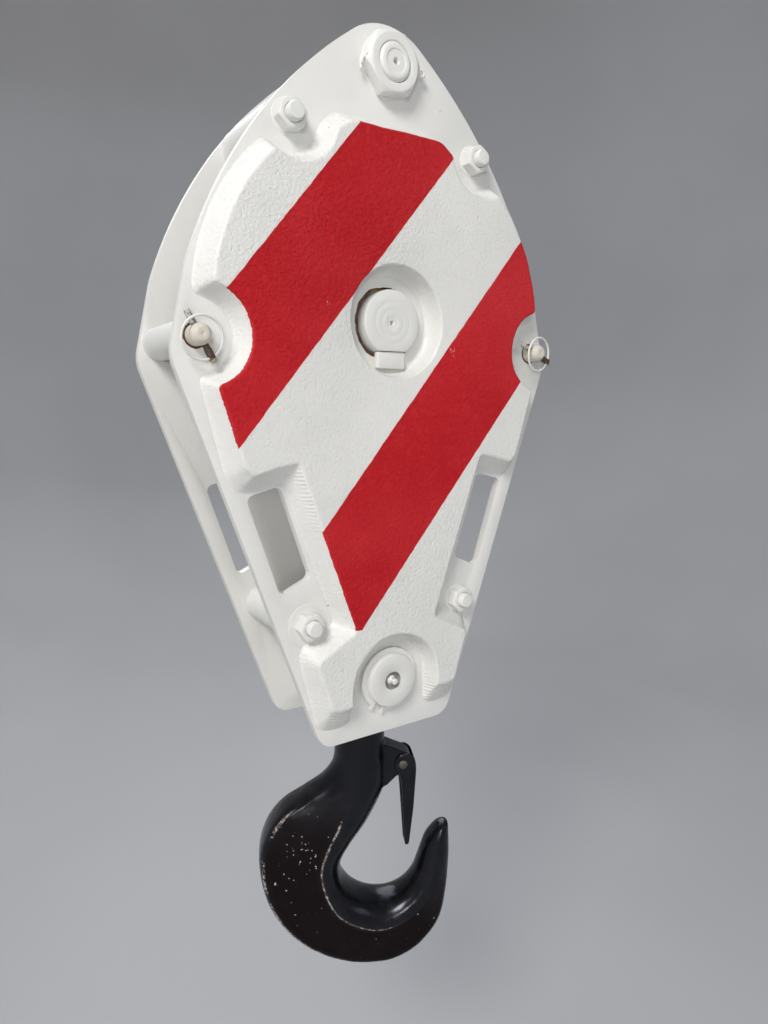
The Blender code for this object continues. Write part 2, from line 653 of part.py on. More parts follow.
# ---------------------------------------------------------------- hook
def hook_sections():
    """Sections of the hook from the top of the shank to the point.

    Each is (inner point, outer point, half thickness, how far it has gone from round to forged).
    """
    sections = []
    thread = SHANK_RADIUS - 0.003
    for height, radius in ((0.1130, thread - 0.002), (0.1112, thread), (0.0632, thread),
                           (0.0630, SHANK_RADIUS), (-0.0850, SHANK_RADIUS)):
        sections.append(((radius, height), (-radius, height), radius, 0.0))
    sections += [((0.0255, -0.1120), (-0.0275, -0.1030), 0.0255, 0.0),
                 ((0.0245, -0.1300), (-0.0400, -0.1200), 0.0262, 0.15),
                 ((0.0170, -0.1470), (-0.0600, -0.1340), 0.0275, 0.4),
                 ((0.0060, -0.1670), (-0.0810, -0.1490), 0.0290, 0.7),
                 ((-0.0080, -0.1850), (-0.0960, -0.1700), 0.0300, 0.9),
                 ((-0.0195, -0.2050), (-0.1030, -0.1960), 0.0305, 1.0)]
    bowl = ((192.0, 0.0400, 0.1190, 0.0305), (209.0, 0.0400, 0.1160, 0.0305), (226.0, 0.0403, 0.1130, 0.0303),
            (243.0, 0.0407, 0.1105, 0.0298), (260.0, 0.0412, 0.1095, 0.0288), (277.0, 0.0415, 0.1085, 0.0275),
            (294.0, 0.0413, 0.1020, 0.0255), (312.0, 0.0407, 0.0925, 0.0230), (332.0, 0.0397, 0.0800, 0.0202),
            (353.0, 0.0405, 0.0738, 0.0178), (370.0, 0.0452, 0.0745, 0.0157), (379.0, 0.0510, 0.0775, 0.0142))
    for angle, inner, outer, half in bowl:
        sections.append((polar(inner, angle, BOWL), polar(outer, angle, BOWL), half, 1.0))
    sections.append((polar(0.0590, 383.5, BOWL), polar(0.0800, 385.0, BOWL), 0.0112, 0.5))
    return sections


def hook_ring(section):
    """The closed ring of one section: a round saddle inside, drafted sides and a blunt back."""
    forged = ((-1.0, 0.0), (-0.93, 0.38), (-0.75, 0.70), (-0.50, 0.90), (-0.22, 1.0), (0.35, 0.92),
              (0.86, 0.80), (0.98, 0.55), (1.0, 0.0))
    inner, outer, half, share = section
    first, last = Vector(inner), Vector(outer)
    middle, reach = (first + last) / 2.0, (last - first) / 2.0
    points = []
    for step in range(16):
        along, across = forged[min(step, 16 - step)]
        across = across if step <= 8 else -across
        turn = math.radians(180.0 - 22.5 * step)
        along = along * share + math.cos(turn) * (1.0 - share)
        across = across * share + math.sin(turn) * (1.0 - share)
        spot = middle + reach * along
        points.append((spot.x, half * across, spot.y))
    return points


def hook_group(forged, steel, dark, trunnion):
    """The forged hook with its nut, bearing race and latch."""
    frame = empty("hook_frame", (0.0, 0.0, 0.0), trunnion, (0.0, 0.0, HOOK_TURN))
    solid = Solid()
    sections = hook_sections()
    rings = [solid.ring3(hook_ring(section)) for section in sections]
    solid.cap(rings[0])
    for first, second in zip(rings, rings[1:]):
        solid.wall(first, second)
    tip = Vector(polar(0.0720, 388.0, BOWL))
    solid.fan(rings[-1], (tip.x, 0.0, tip.y))
    hook = solid.finish("hook", forged, frame, sharp=60.0)

    lug_outline = [(0.0160, -0.0850), (0.0280, -0.0860), (0.0370, -0.0900)]
    lug_outline += arc(LATCH_PIVOT, 0.0105, 70.0, -80.0, 5)
    lug_outline += [(0.0340, -0.1200), (0.0270, -0.1270), (0.0160, -0.1330)]
    levels = [(-LUG_HALF_WIDTH, lug_outline), (LUG_HALF_WIDTH, lug_outline)]
    lug = stack(levels).finish("latch_lug", forged, frame)
    lug.hide_render = True
    lug.display_type = "WIRE"
    join = hook.modifiers.new("join lug", "BOOLEAN")
    join.operation = "UNION"
    join.solver = "EXACT"
    join.object = lug
    drill = stack([(y, circle(LATCH_PIN_RADIUS + GAP, 12)) for y in (-0.02, 0.02)])
    pivot = (LATCH_PIVOT[0], 0.0, LATCH_PIVOT[1])
    cut(hook, drill.finish("latch_drill", forged, frame, pivot))

    cage_start = CROSSHEAD_SIZE[2] + RACE_HEIGHT + 2 * GAP
    cage = tube(RACE_RADIUS - 0.002, SHANK_RADIUS + 0.002, cage_start, cage_start + CAGE_HEIGHT, 32, "Z")
    cage.finish("thrust_ball_cage", steel, frame)
    race_start = cage_start + CAGE_HEIGHT + GAP
    race = tube(RACE_RADIUS, SHANK_RADIUS + GAP, race_start, race_start + RACE_HEIGHT, 32, "Z")
    race.finish("thrust_race_upper", steel, frame)
    nut_start = race_start + RACE_HEIGHT + GAP
    nut_end = nut_start + HOOK_NUT_HEIGHT
    thread = SHANK_RADIUS - 0.003 + GAP
    profile = [(HOOK_NUT_RADIUS, nut_start), (HOOK_NUT_RADIUS, nut_end - 0.003),
               (HOOK_NUT_RADIUS - 0.003, nut_end), (thread, nut_end), (thread, nut_start)]
    nut = turned(profile, 32, "Z").finish("hook_nut", steel, frame)
    pin_height = nut_end - 0.012
    lock = stack([(-0.0345, circle(0.003, 10)), (0.0345, circle(0.003, 10))], "X")
    lock.finish("hook_nut_lock_pin", steel, frame, (0.0, 0.0, pin_height))
    for target, name in ((nut, "nut"), (hook, "shank")):
        hole = stack([(x, circle(0.0033, 10)) for x in (-0.05, 0.05)], "X")
        cut(target, hole.finish("lock_hole_" + name, steel, frame, (0.0, 0.0, pin_height)))
    latch_group(dark, steel, frame, pivot)


def latch_group(dark, steel, frame, pivot):
    """The safety latch, a pressed channel that hangs from its pin."""
    width, skin = LATCH_HALF_WIDTH, 0.0022
    tip_width = 0.0070
    outside = ((0.0090, -0.0025, 0.0075, width), (0.0070, -0.0055, 0.0100, width),
               (0.0020, -0.0080, 0.0130, width), (-0.0060, -0.0078, 0.0140, width),
               (-0.0120, -0.0045, 0.0140, width), (-0.0180, -0.0015, 0.0137, width - 0.0005),
               (-0.0500, 0.0010, 0.0122, width - 0.0033), (-LATCH_LENGTH, 0.0035, 0.0078, tip_width))
    hollow = ((0.0200, -0.02, 0.0116, width - skin), (-0.0120, -0.02, 0.0118, width - skin),
              (-0.0180, -0.02, 0.0115, width - 0.0005 - skin), (-0.0500, -0.02, 0.0100, width - 0.0033 - skin),
              (-LATCH_LENGTH + 0.003, -0.02, 0.0058, tip_width - skin))
    made = []
    for levels in (outside, hollow):
        levels = [(z, [(a, -w), (b, -w), (b, w), (a, w)]) for z, a, b, w in levels]
        made.append(stack(levels, "Z"))
    latch = made[0].finish("latch", dark, frame, pivot)
    cut(latch, made[1].finish("latch_hollow", dark, frame, pivot))
    drill = stack([(y, circle(LATCH_PIN_RADIUS + GAP, 12)) for y in (-0.02, 0.02)])
    cut(latch, drill.finish("latch_pin_hole", dark, frame, pivot))
    head = circle(0.0065, 12)
    pin = Solid()
    outer = pin.ring(head, -width - 0.0035)
    under = pin.ring(head, -width - GAP)
    neck = pin.ring(circle(LATCH_PIN_RADIUS, 12), -width - GAP)
    end = pin.ring(circle(LATCH_PIN_RADIUS, 12), width + 0.0030)
    pin.cap(outer)
    pin.wall(outer, under)
    pin.cap(under, neck)
    pin.wall(neck, end)
    pin.cap(end)
    pin.finish("latch_pin", steel, frame, pivot)


# ---------------------------------------------------------------- assembly
def build():
    """Makes every piece of the block."""
    for old in list(bpy.data.objects):
        bpy.data.objects.remove(old, do_unlink=True)
    white = paint("white_paint", (0.80, 0.79, 0.76), 0.38)
    red = paint("striped_paint", (0.78, 0.74, 0.72), 0.38)
    steel = paint("worn_steel", (0.45, 0.43, 0.40), 0.45, 1.0)
    rusty = paint("rusty_steel", (0.22, 0.13, 0.08), 0.75, 0.4)
    bronze = paint("bronze", (0.60, 0.40, 0.20), 0.40, 1.0)
    forged = paint("black_paint", (0.015, 0.015, 0.017), 0.28)

    side_plate("side_plate_front", white, -1)
    side_plate("side_plate_rear", white, 1)
    cheek_weight("cheek_weight_front", red, -1)
    cheek_weight("cheek_weight_rear", red, 1)
    for level, (x, z) in (("upper", UPPER_BOLT), ("lower", LOWER_BOLT)):
        for name, side in (("left", -1), ("right", 1)):
            label = "%s_%s" % (level, name)
            tie_bolt("tie_bolt_" + label, white, (side * x, z))
            tie_nut("tie_nut_" + label, white, (side * x, z))
            spacer_tube("spacer_tube_" + label, white, (side * x, z), TIE_TUBE_RADIUS, BOLT_RADIUS)
    for name, side in (("left", -1), ("right", 1)):
        place = (side * GUARD_PIN[0], GUARD_PIN[1])
        spacer_tube("guard_tube_" + name, white, place, GUARD_TUBE_RADIUS, GUARD_PIN_RADIUS)
        guard_pin(side, name, steel, rusty)
    becket_group(steel, white)
    axle_group(steel, white, bronze)
    sheave_group(steel, bronze)
    trunnion = crosshead_group(steel, white)
    hook_group(forged, steel, forged, trunnion)


build()
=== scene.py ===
"""The looks of a crane hook block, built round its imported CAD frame. Metres, +Z up, front at -Y."""

import math

import bmesh
import bpy
from mathutils import Matrix, Vector, noise
from mathutils.kdtree import KDTree


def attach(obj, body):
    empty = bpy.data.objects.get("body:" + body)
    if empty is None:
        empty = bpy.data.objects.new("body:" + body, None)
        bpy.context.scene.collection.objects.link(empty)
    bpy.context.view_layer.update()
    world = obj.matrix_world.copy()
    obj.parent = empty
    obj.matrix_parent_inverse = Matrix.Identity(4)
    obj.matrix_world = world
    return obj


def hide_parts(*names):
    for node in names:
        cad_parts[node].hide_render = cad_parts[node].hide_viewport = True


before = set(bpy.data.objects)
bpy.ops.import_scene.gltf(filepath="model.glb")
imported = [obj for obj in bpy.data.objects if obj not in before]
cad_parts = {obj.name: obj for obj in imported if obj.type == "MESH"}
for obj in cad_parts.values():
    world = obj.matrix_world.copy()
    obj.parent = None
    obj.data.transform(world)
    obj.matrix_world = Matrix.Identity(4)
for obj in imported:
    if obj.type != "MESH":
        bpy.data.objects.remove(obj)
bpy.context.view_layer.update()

# ---------------------------------------------------------------- sizes shared with the CAD
PLATE_IN, PLATE_OUT = 0.042, 0.050
CHEEK_FACE = 0.067
TRUNNION_Z = -0.320
UPPER_BOLT, LOWER_BOLT = (0.0917, 0.1477), (0.0818, -0.2557)
GUARD_PIN = (0.1700, -0.0185)
BECKET_Z = 0.2047
HOOK_TURN = math.radians(-26.0)
BOWL = (0.019, -0.211)
LATCH_PIVOT = (0.0420, -0.1040)
LYNCH_Y = 0.0585
STRIPE_SLOPE = math.radians(50.0)
ENDS = (("front", -1), ("rear", 1))
STRIPES = ((0.0855, 0.0395), (-0.0968, 0.0433))
SEAT = PLATE_OUT + 0.0003       # where what lies on a plate's outer face begins
INSIDE = PLATE_IN - 0.0003      # where what stands between the plates ends
LYNCH_EYE = 0.0185              # of the ring's hole, along the lynch pin
RING_RADIUS = 0.016
RING_LEAN = math.radians(9.0)   # outwards, to pass over the lynch pin
SPLIT_PIN_Y = -0.0562
SHARP_EDGE = math.radians(38.0)


# ---------------------------------------------------------------- points
def polar(radius, angle, centre=(0.0, 0.0)):
    turn = math.radians(angle)
    return (centre[0] + radius * math.cos(turn), centre[1] + radius * math.sin(turn))


def arc(centre, radius, start, end, steps):
    return [polar(radius, start + (end - start) * i / steps, centre) for i in range(steps + 1)]


def circle(radius, count, centre=(0.0, 0.0)):
    return [polar(radius, 360.0 * i / count, centre) for i in range(count)]


def mirrored(half):
    return half + [(-x, z) for x, z in reversed(half) if x > 1e-6]


def both_ends(half):
    """A profile from its lower half, which ends short of the middle."""
    return half + [(radius, -height) for radius, height in reversed(half)]


def rod(radius, half):
    """The profile of a plain pin."""
    return both_ends([(0.0, -half), (radius, -half)])


def pipe(outer, inner):
    """The profile of a tube that fills the gap between the plates."""
    return [(outer, -INSIDE), (outer, INSIDE), (inner, INSIDE), (inner, -INSIDE)]


def angle_of(point, centre):
    return math.degrees(math.atan2(point[1] - centre[1], point[0] - centre[0]))


def crossing(centre_a, radius_a, centre_b, radius_b, low):
    """The lower or the upper point where two circles cross."""
    a, b = Vector(centre_a), Vector(centre_b)
    gap = (b - a).length
    along = (radius_a ** 2 - radius_b ** 2 + gap ** 2) / (2.0 * gap)
    axis = (b - a) / gap
    side = Vector((-axis.y, axis.x)) * math.sqrt(radius_a ** 2 - along ** 2)
    middle = a + axis * along
    points = sorted((middle + side, middle - side), key=lambda p: p.y)
    return tuple(points[0] if low else points[1])


def rounded(corners, radius, steps=6):
    """A closed polygon with every corner rounded."""
    points = []
    count = len(corners)
    for i, corner in enumerate(corners):
        here = Vector(corner)
        before = (Vector(corners[i - 1]) - here).normalized()
        after = (Vector(corners[(i + 1) % count]) - here).normalized()
        half = before.angle(after) / 2.0
        reach = radius / math.tan(half)
        middle = here + (before + after).normalized() * radius / math.sin(half)
        start, end = here + before * reach - middle, here + after * reach - middle
        for step in range(steps + 1):
            points.append(tuple(middle + start.lerp(end, step / steps).normalized() * radius))
    return points


def paired(first, second, count):
    """Two closed outlines with matching corners, resampled together at even steps."""
    total = [0.0]
    size = len(first)
    for i in range(size):
        a = (Vector(first[(i + 1) % size]) - Vector(first[i])).length
        b = (Vector(second[(i + 1) % size]) - Vector(second[i])).length
        total.append(total[-1] + (a + b) / 2.0)
    outs = ([], [])
    at = 0
    for step in range(count):
        goal = total[-1] * step / count
        while total[at + 1] < goal:
            at += 1
        share = (goal - total[at]) / max(total[at + 1] - total[at], 1e-9)
        for outline, out in zip((first, second), outs):
            out.append(Vector(outline[at]).lerp(Vector(outline[(at + 1) % size]), share))
    return outs


def softened(points, rounds):
    """A closed outline with its corners eased."""
    for _ in range(rounds):
        count = len(points)
        points = [(points[i - 1] + points[i] * 2.0 + points[(i + 1) % count]) / 4.0 for i in range(count)]
    return points


def normals(points):
    """The outward normals of a closed outline that runs clockwise from its top."""
    count = len(points)
    out = []
    for i in range(count):
        along = points[(i + 1) % count] - points[i - 1]
        out.append(Vector((-along.y, along.x)).normalized())
    return out


# ---------------------------------------------------------------- solids
class Solid:
    """A closed mesh made of rings, walls between rings and caps."""

    def __init__(self, axis="Y"):
        self.mesh = bmesh.new()
        self.axis = axis

    def ring(self, points, height):
        order = {"Y": lambda p: (p[0], height, p[1]), "X": lambda p: (height, p[0], p[1]),
                 "Z": lambda p: (p[0], p[1], height)}[self.axis]
        return [self.mesh.verts.new(order(p)) for p in points]

    def ring3(self, points):
        return [self.mesh.verts.new(p) for p in points]

    def wall(self, *rings):
        for first, second in zip(rings, rings[1:]):
            for i, corner in enumerate(first):
                follow = (i + 1) % len(first)
                self.mesh.faces.new((corner, first[follow], second[follow], second[i]))

    def cap(self, *rings):
        edges = []
        for ring in rings:
            for i, corner in enumerate(ring):
                pair = (corner, ring[(i + 1) % len(ring)])
                edges.append(self.mesh.edges.get(pair) or self.mesh.edges.new(pair))
        bmesh.ops.triangle_fill(self.mesh, use_beauty=True, use_dissolve=False, edges=edges)

    def fan(self, ring, point):
        tip = self.mesh.verts.new(point)
        for i, corner in enumerate(ring):
            self.mesh.faces.new((corner, ring[(i + 1) % len(ring)], tip))

    def finish(self, name, material, sharp=35.0):
        bmesh.ops.recalc_face_normals(self.mesh, faces=self.mesh.faces)
        mesh = bpy.data.meshes.new(name)
        self.mesh.to_mesh(mesh)
        self.mesh.free()
        mesh.shade_smooth()
        mesh.set_sharp_from_angle(angle=math.radians(sharp))
        mesh.materials.append(material)
        made = bpy.data.objects.new(name, mesh)
        bpy.context.collection.objects.link(made)
        return made


def lathe(name, profile, count, material, axis="Y", sharp=35.0):
    """A turned piece: a profile that starts and ends on the axis is solid, any other one is a ring."""
    solid = Solid(axis)
    closed = profile[0][0] > 1e-6
    inner = profile if closed else profile[1:-1]
    rings = [solid.ring(circle(radius, count), height) for radius, height in inner]
    solid.wall(*rings)
    if closed:
        solid.wall(rings[-1], rings[0])
    else:
        for ring, end in ((rings[0], profile[0]), (rings[-1], profile[-1])):
            if abs(end[1] - inner[0 if ring is rings[0] else -1][1]) < 1e-9:
                solid.mesh.faces.new(ring)
            else:
                point = {"Y": (0.0, end[1], 0.0), "X": (end[1], 0.0, 0.0), "Z": (0.0, 0.0, end[1])}[axis]
                solid.fan(ring, point)
    return solid.finish(name, material, sharp)


def stack(levels, axis="Y"):
    solid = Solid(axis)
    rings = [solid.ring(points, height) for height, points in levels]
    solid.wall(*rings)
    solid.cap(rings[0])
    solid.cap(rings[-1])
    return solid


def wire(points, radius, count=12, closed=False):
    """A round wire along a path of points."""
    path = [Vector(p) for p in points]
    solid = Solid()
    rings = []
    size = len(path)
    lift = None
    for i, point in enumerate(path):
        ahead = (path[(i + 1) % size] - path[i - 1]) if closed or 0 < i < size - 1 else \
            (path[min(i + 1, size - 1)] - path[max(i - 1, 0)])
        ahead.normalize()
        lift = ahead.orthogonal() if lift is None else (lift - ahead * lift.dot(ahead))
        lift.normalize()
        side = ahead.cross(lift)
        rings.append(solid.ring3([tuple(point + lift * a + side * b) for a, b in circle(radius, count)]))
    solid.wall(*rings)
    if closed:
        solid.wall(rings[-1], rings[0])
    else:
        solid.fan(rings[0], path[0] + (path[0] - path[1]).normalized() * radius * 0.5)
        solid.fan(rings[-1], path[-1] + (path[-1] - path[-2]).normalized() * radius * 0.5)
    return solid


def apply_all(target):
    """Turns a piece's modifiers into its mesh."""
    depsgraph = bpy.context.evaluated_depsgraph_get()
    mesh = bpy.data.meshes.new_from_object(target.evaluated_get(depsgraph))
    target.modifiers.clear()
    target.data = mesh
    return target


def bevel(target, width, segments=2, angle=32.0):
    change = target.modifiers.new("edges", "BEVEL")
    change.width = width
    change.segments = segments
    change.limit_method = "ANGLE"
    change.angle_limit = math.radians(angle)
    apply_all(target)
    target.data.shade_smooth()
    target.data.set_sharp_from_angle(angle=SHARP_EDGE)
    return target


def boolean(target, other, operation="DIFFERENCE"):
    change = target.modifiers.new("boolean", "BOOLEAN")
    change.operation = operation
    change.solver = "EXACT"
    change.object = other
    bpy.context.view_layer.update()
    apply_all(target)
    bpy.data.objects.remove(other, do_unlink=True)
    return target


def joined(first, *others):
    """Merges pieces into the first one, keeping their materials."""
    bm = bmesh.new()
    bm.from_mesh(first.data)
    base = first.matrix_world.inverted()
    slots = list(first.data.materials)
    for other in others:
        mesh = other.data.copy()
        mesh.transform(base @ other.matrix_world)
        slot_of = {}
        for i, material in enumerate(mesh.materials):
            if material not in slots:
                slots.append(material)
            slot_of[i] = slots.index(material)
        for polygon in mesh.polygons:
            polygon.material_index = slot_of[polygon.material_index]
        bm.from_mesh(mesh)
        bpy.data.objects.remove(other, do_unlink=True)
    bm.to_mesh(first.data)
    bm.free()
    first.data.materials.clear()
    for material in slots:
        first.data.materials.append(material)
    return first


def piece(made, body, nodes, place=None):
    """Places a piece, says what it rides on and hides the CAD nodes it stands for."""
    if place is not None:
        made.matrix_world = place
    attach(made, body)
    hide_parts(*([nodes] if isinstance(nodes, str) else nodes))
    return made


def shift(made, x=0.0, y=0.0, z=0.0):
    """Moves a piece's mesh, so that its origin stays at the block's."""
    made.data.transform(Matrix.Translation((x, y, z)))
    return made


def turned(node, profile, count, material, body, at=(0.0, 0.0, 0.0), axis="Y", place=None):
    """A turned piece that stands for the CAD node of its name."""
    made = lathe("look_" + node, profile, count, material, axis)
    return piece(shift(made, *at), body, node, place)


# ---------------------------------------------------------------- materials
class Paint:
    """Short calls for a material's node tree."""

    def __init__(self, name):
        self.material = bpy.data.materials.new(name)
        self.material.use_nodes = True
        self.tree = self.material.node_tree
        self.shader = self.tree.nodes["Principled BSDF"]
        self.at = self.node("ShaderNodeTexCoord").outputs["Object"]

    def node(self, kind, inputs=None, **settings):
        made = self.tree.nodes.new(kind)
        for key, value in settings.items():
            setattr(made, key, value)
        for key, value in (inputs or {}).items():
            if isinstance(value, bpy.types.NodeSocket):
                self.tree.links.new(value, made.inputs[key])
            else:
                made.inputs[key].default_value = value
        return made

    def noise(self, scale, detail=3.0, rough=0.55, at=None, distort=0.0):
        inputs = {"Vector": at or self.at, "Scale": scale, "Detail": detail, "Roughness": rough,
                  "Distortion": distort}
        return self.node("ShaderNodeTexNoise", inputs).outputs["Fac"]

    def math(self, operation, a, b=0.0):
        return self.node("ShaderNodeMath", {0: a, 1: b}, operation=operation).outputs[0]

    def plus(self, a, b):
        return self.math("ADD", a, b)

    def minus(self, a, b):
        return self.math("SUBTRACT", a, b)

    def times(self, a, b):
        return self.math("MULTIPLY", a, b)

    def size(self, value):
        return self.math("ABSOLUTE", value)

    def rest(self, mask):
        """Where a mask isn't."""
        return self.minus(1.0, mask)

    def either(self, a, b):
        return self.math("MAXIMUM", a, b)

    def under(self, value, limit):
        return self.math("LESS_THAN", value, limit)

    def over(self, value, limit):
        return self.math("GREATER_THAN", value, limit)

    def step(self, value, low, high):
        """0 below low, 1 above high and smooth between."""
        inputs = {"Value": value, "From Min": low, "From Max": high}
        return self.node("ShaderNodeMapRange", inputs, interpolation_type="SMOOTHSTEP").outputs["Result"]

    def patches(self, low, high, *noise, **more):
        """Where a noise is high: 0 below low, 1 above high."""
        return self.step(self.noise(*noise, **more), low, high)

    def line(self, value, slope, start):
        return self.plus(self.times(value, slope), start)

    def mix(self, share, a, b):
        made = self.node("ShaderNodeMix", {0: share}, data_type="RGBA")
        for index, value in ((6, a), (7, b)):
            if isinstance(value, bpy.types.NodeSocket):
                self.tree.links.new(value, made.inputs[index])
            else:
                made.inputs[index].default_value = (*value, 1.0)
        return made.outputs[2]

    def lay(self, base, over, mask, share):
        """A share of another colour where a mask says."""
        return self.mix(self.times(mask, share), base, over)

    def stretched(self, x, y, z):
        return self.node("ShaderNodeMapping", {"Vector": self.at, "Scale": (x, y, z)}).outputs["Vector"]

    def attribute(self, name):
        return self.node("ShaderNodeAttribute", attribute_name=name).outputs["Fac"]

    def split(self):
        made = self.node("ShaderNodeSeparateXYZ", {"Vector": self.at})
        return made.outputs[0], made.outputs[1], made.outputs[2]

    def away(self, x, z, centre):
        """The distance from a line along Y."""
        dx, dz = self.minus(x, centre[0]), self.minus(z, centre[1])
        return self.math("SQRT", self.plus(self.times(dx, dx), self.times(dz, dz)))

    def drive(self, socket, value):
        """Links a value to an input of the shader."""
        self.tree.links.new(value, self.shader.inputs[socket])

    def colour(self, value):
        self.drive("Base Color", value)

    def rough(self, value):
        self.drive("Roughness", value)

    def bumps(self, *layers):
        """Bump layers of (height, strength, distance), the coarse ones first."""
        last = None
        for height, strength, distance in layers:
            inputs = {"Height": height, "Strength": strength, "Distance": distance}
            if last is not None:
                inputs["Normal"] = last
            last = self.node("ShaderNodeBump", inputs).outputs["Normal"]
        self.drive("Normal", last)


WHITE, GREY_WHITE, CREAM = (0.800, 0.795, 0.765), (0.700, 0.695, 0.660), (0.66, 0.62, 0.53)
RUST, DARK_RUST, GRIME = (0.165, 0.070, 0.032), (0.050, 0.026, 0.017), (0.30, 0.275, 0.235)
RED, LIGHT_RED, PINK = (0.480, 0.007, 0.012), (0.560, 0.020, 0.026), (0.86, 0.66, 0.62)


def white_coat(paint, cast):
    """The colour of thick white enamel: slow tone changes, faint dirt and small chips."""
    tone = paint.patches(0.32, 0.72, 7.0, 3.0)
    base = paint.lay(WHITE, GREY_WHITE, tone, 0.55)
    mottle = paint.patches(0.50, 0.80, 55.0, 4.0, 0.65)
    base = paint.lay(base, GREY_WHITE, mottle, 0.30)
    streak = paint.patches(0.60, 0.82, 26.0, 3.0, 0.6, paint.stretched(1.0, 1.0, 0.16))
    base = paint.lay(base, CREAM, streak, 0.22)
    where = paint.patches(0.56, 0.66, 13.0, 1.0)
    chip = paint.patches(0.715, 0.735, 150.0 if cast else 190.0, 3.0, 0.6)
    chip = paint.times(chip, where)
    base = paint.lay(base, GRIME, chip, 0.85)
    return base, chip


def orange_peel(paint, cast, chip, relief=None):
    """Bump of brushed and sprayed enamel, over cast iron or rolled plate."""
    peel = paint.noise(420.0, 2.0, 0.5)
    pits = paint.patches(0.34, 0.46, 360.0, 2.0, 0.55)
    waves = paint.noise(48.0, 2.0, 0.5)
    dents = paint.patches(0.24, 0.34, 120.0, 1.0)
    layers = [(waves, 0.26 if cast else 0.18, 0.0014), (dents, 0.20 if cast else 0.08, 0.0005),
              (pits, 0.42 if cast else 0.14, 0.0004), (peel, 0.42 if cast else 0.24, 0.0004),
              (chip, -0.5, 0.0003)]
    paint.bumps(*(relief or []), *layers)


def finish_white(paint, base, chip, cast, relief=None):
    paint.colour(base)
    gloss = paint.patches(0.25, 0.80, 30.0, 3.0)
    rough = paint.line(gloss, 0.16, 0.34)
    paint.rough(paint.plus(rough, paint.times(chip, 0.30)))
    orange_peel(paint, cast, chip, relief)
    return paint.material


def white_material(name):
    paint = Paint(name)
    base, chip = white_coat(paint, False)
    return finish_white(paint, base, chip, False)


def plate_material(name):
    """White plate paint, rusty round the edge of the axle's bore, with the rust widened on the left as
    painted shade of the gap round the axle, and a dark ring of rust and painted shade round the guard pins.
    """
    paint = Paint(name)
    base, chip = white_coat(paint, False)
    x, _, z = paint.split()
    ragged = paint.plus(paint.away(x, z, (0.0, 0.0)), paint.times(paint.noise(160.0), 0.0022))
    # The rust reaches further out on the left of the bore: painted shade of the gap between axle and bore.
    gap_shade_widening = paint.times(paint.step(paint.times(x, -1.0), 0.006, 0.022), 0.0026)
    rust = paint.under(ragged, paint.plus(gap_shade_widening, 0.0314))
    # A dark ring round each guard pin's hole: rust, and painted shade at the pin's foot.
    pin = paint.away(paint.size(x), z, GUARD_PIN)
    pin = paint.plus(pin, paint.times(paint.noise(260.0), 0.0022))
    rust = paint.either(rust, paint.under(pin, 0.0108))
    base = paint.mix(rust, base, paint.mix(paint.patches(0.4, 0.6, 240.0), DARK_RUST, RUST))
    return finish_white(paint, base, chip, False)


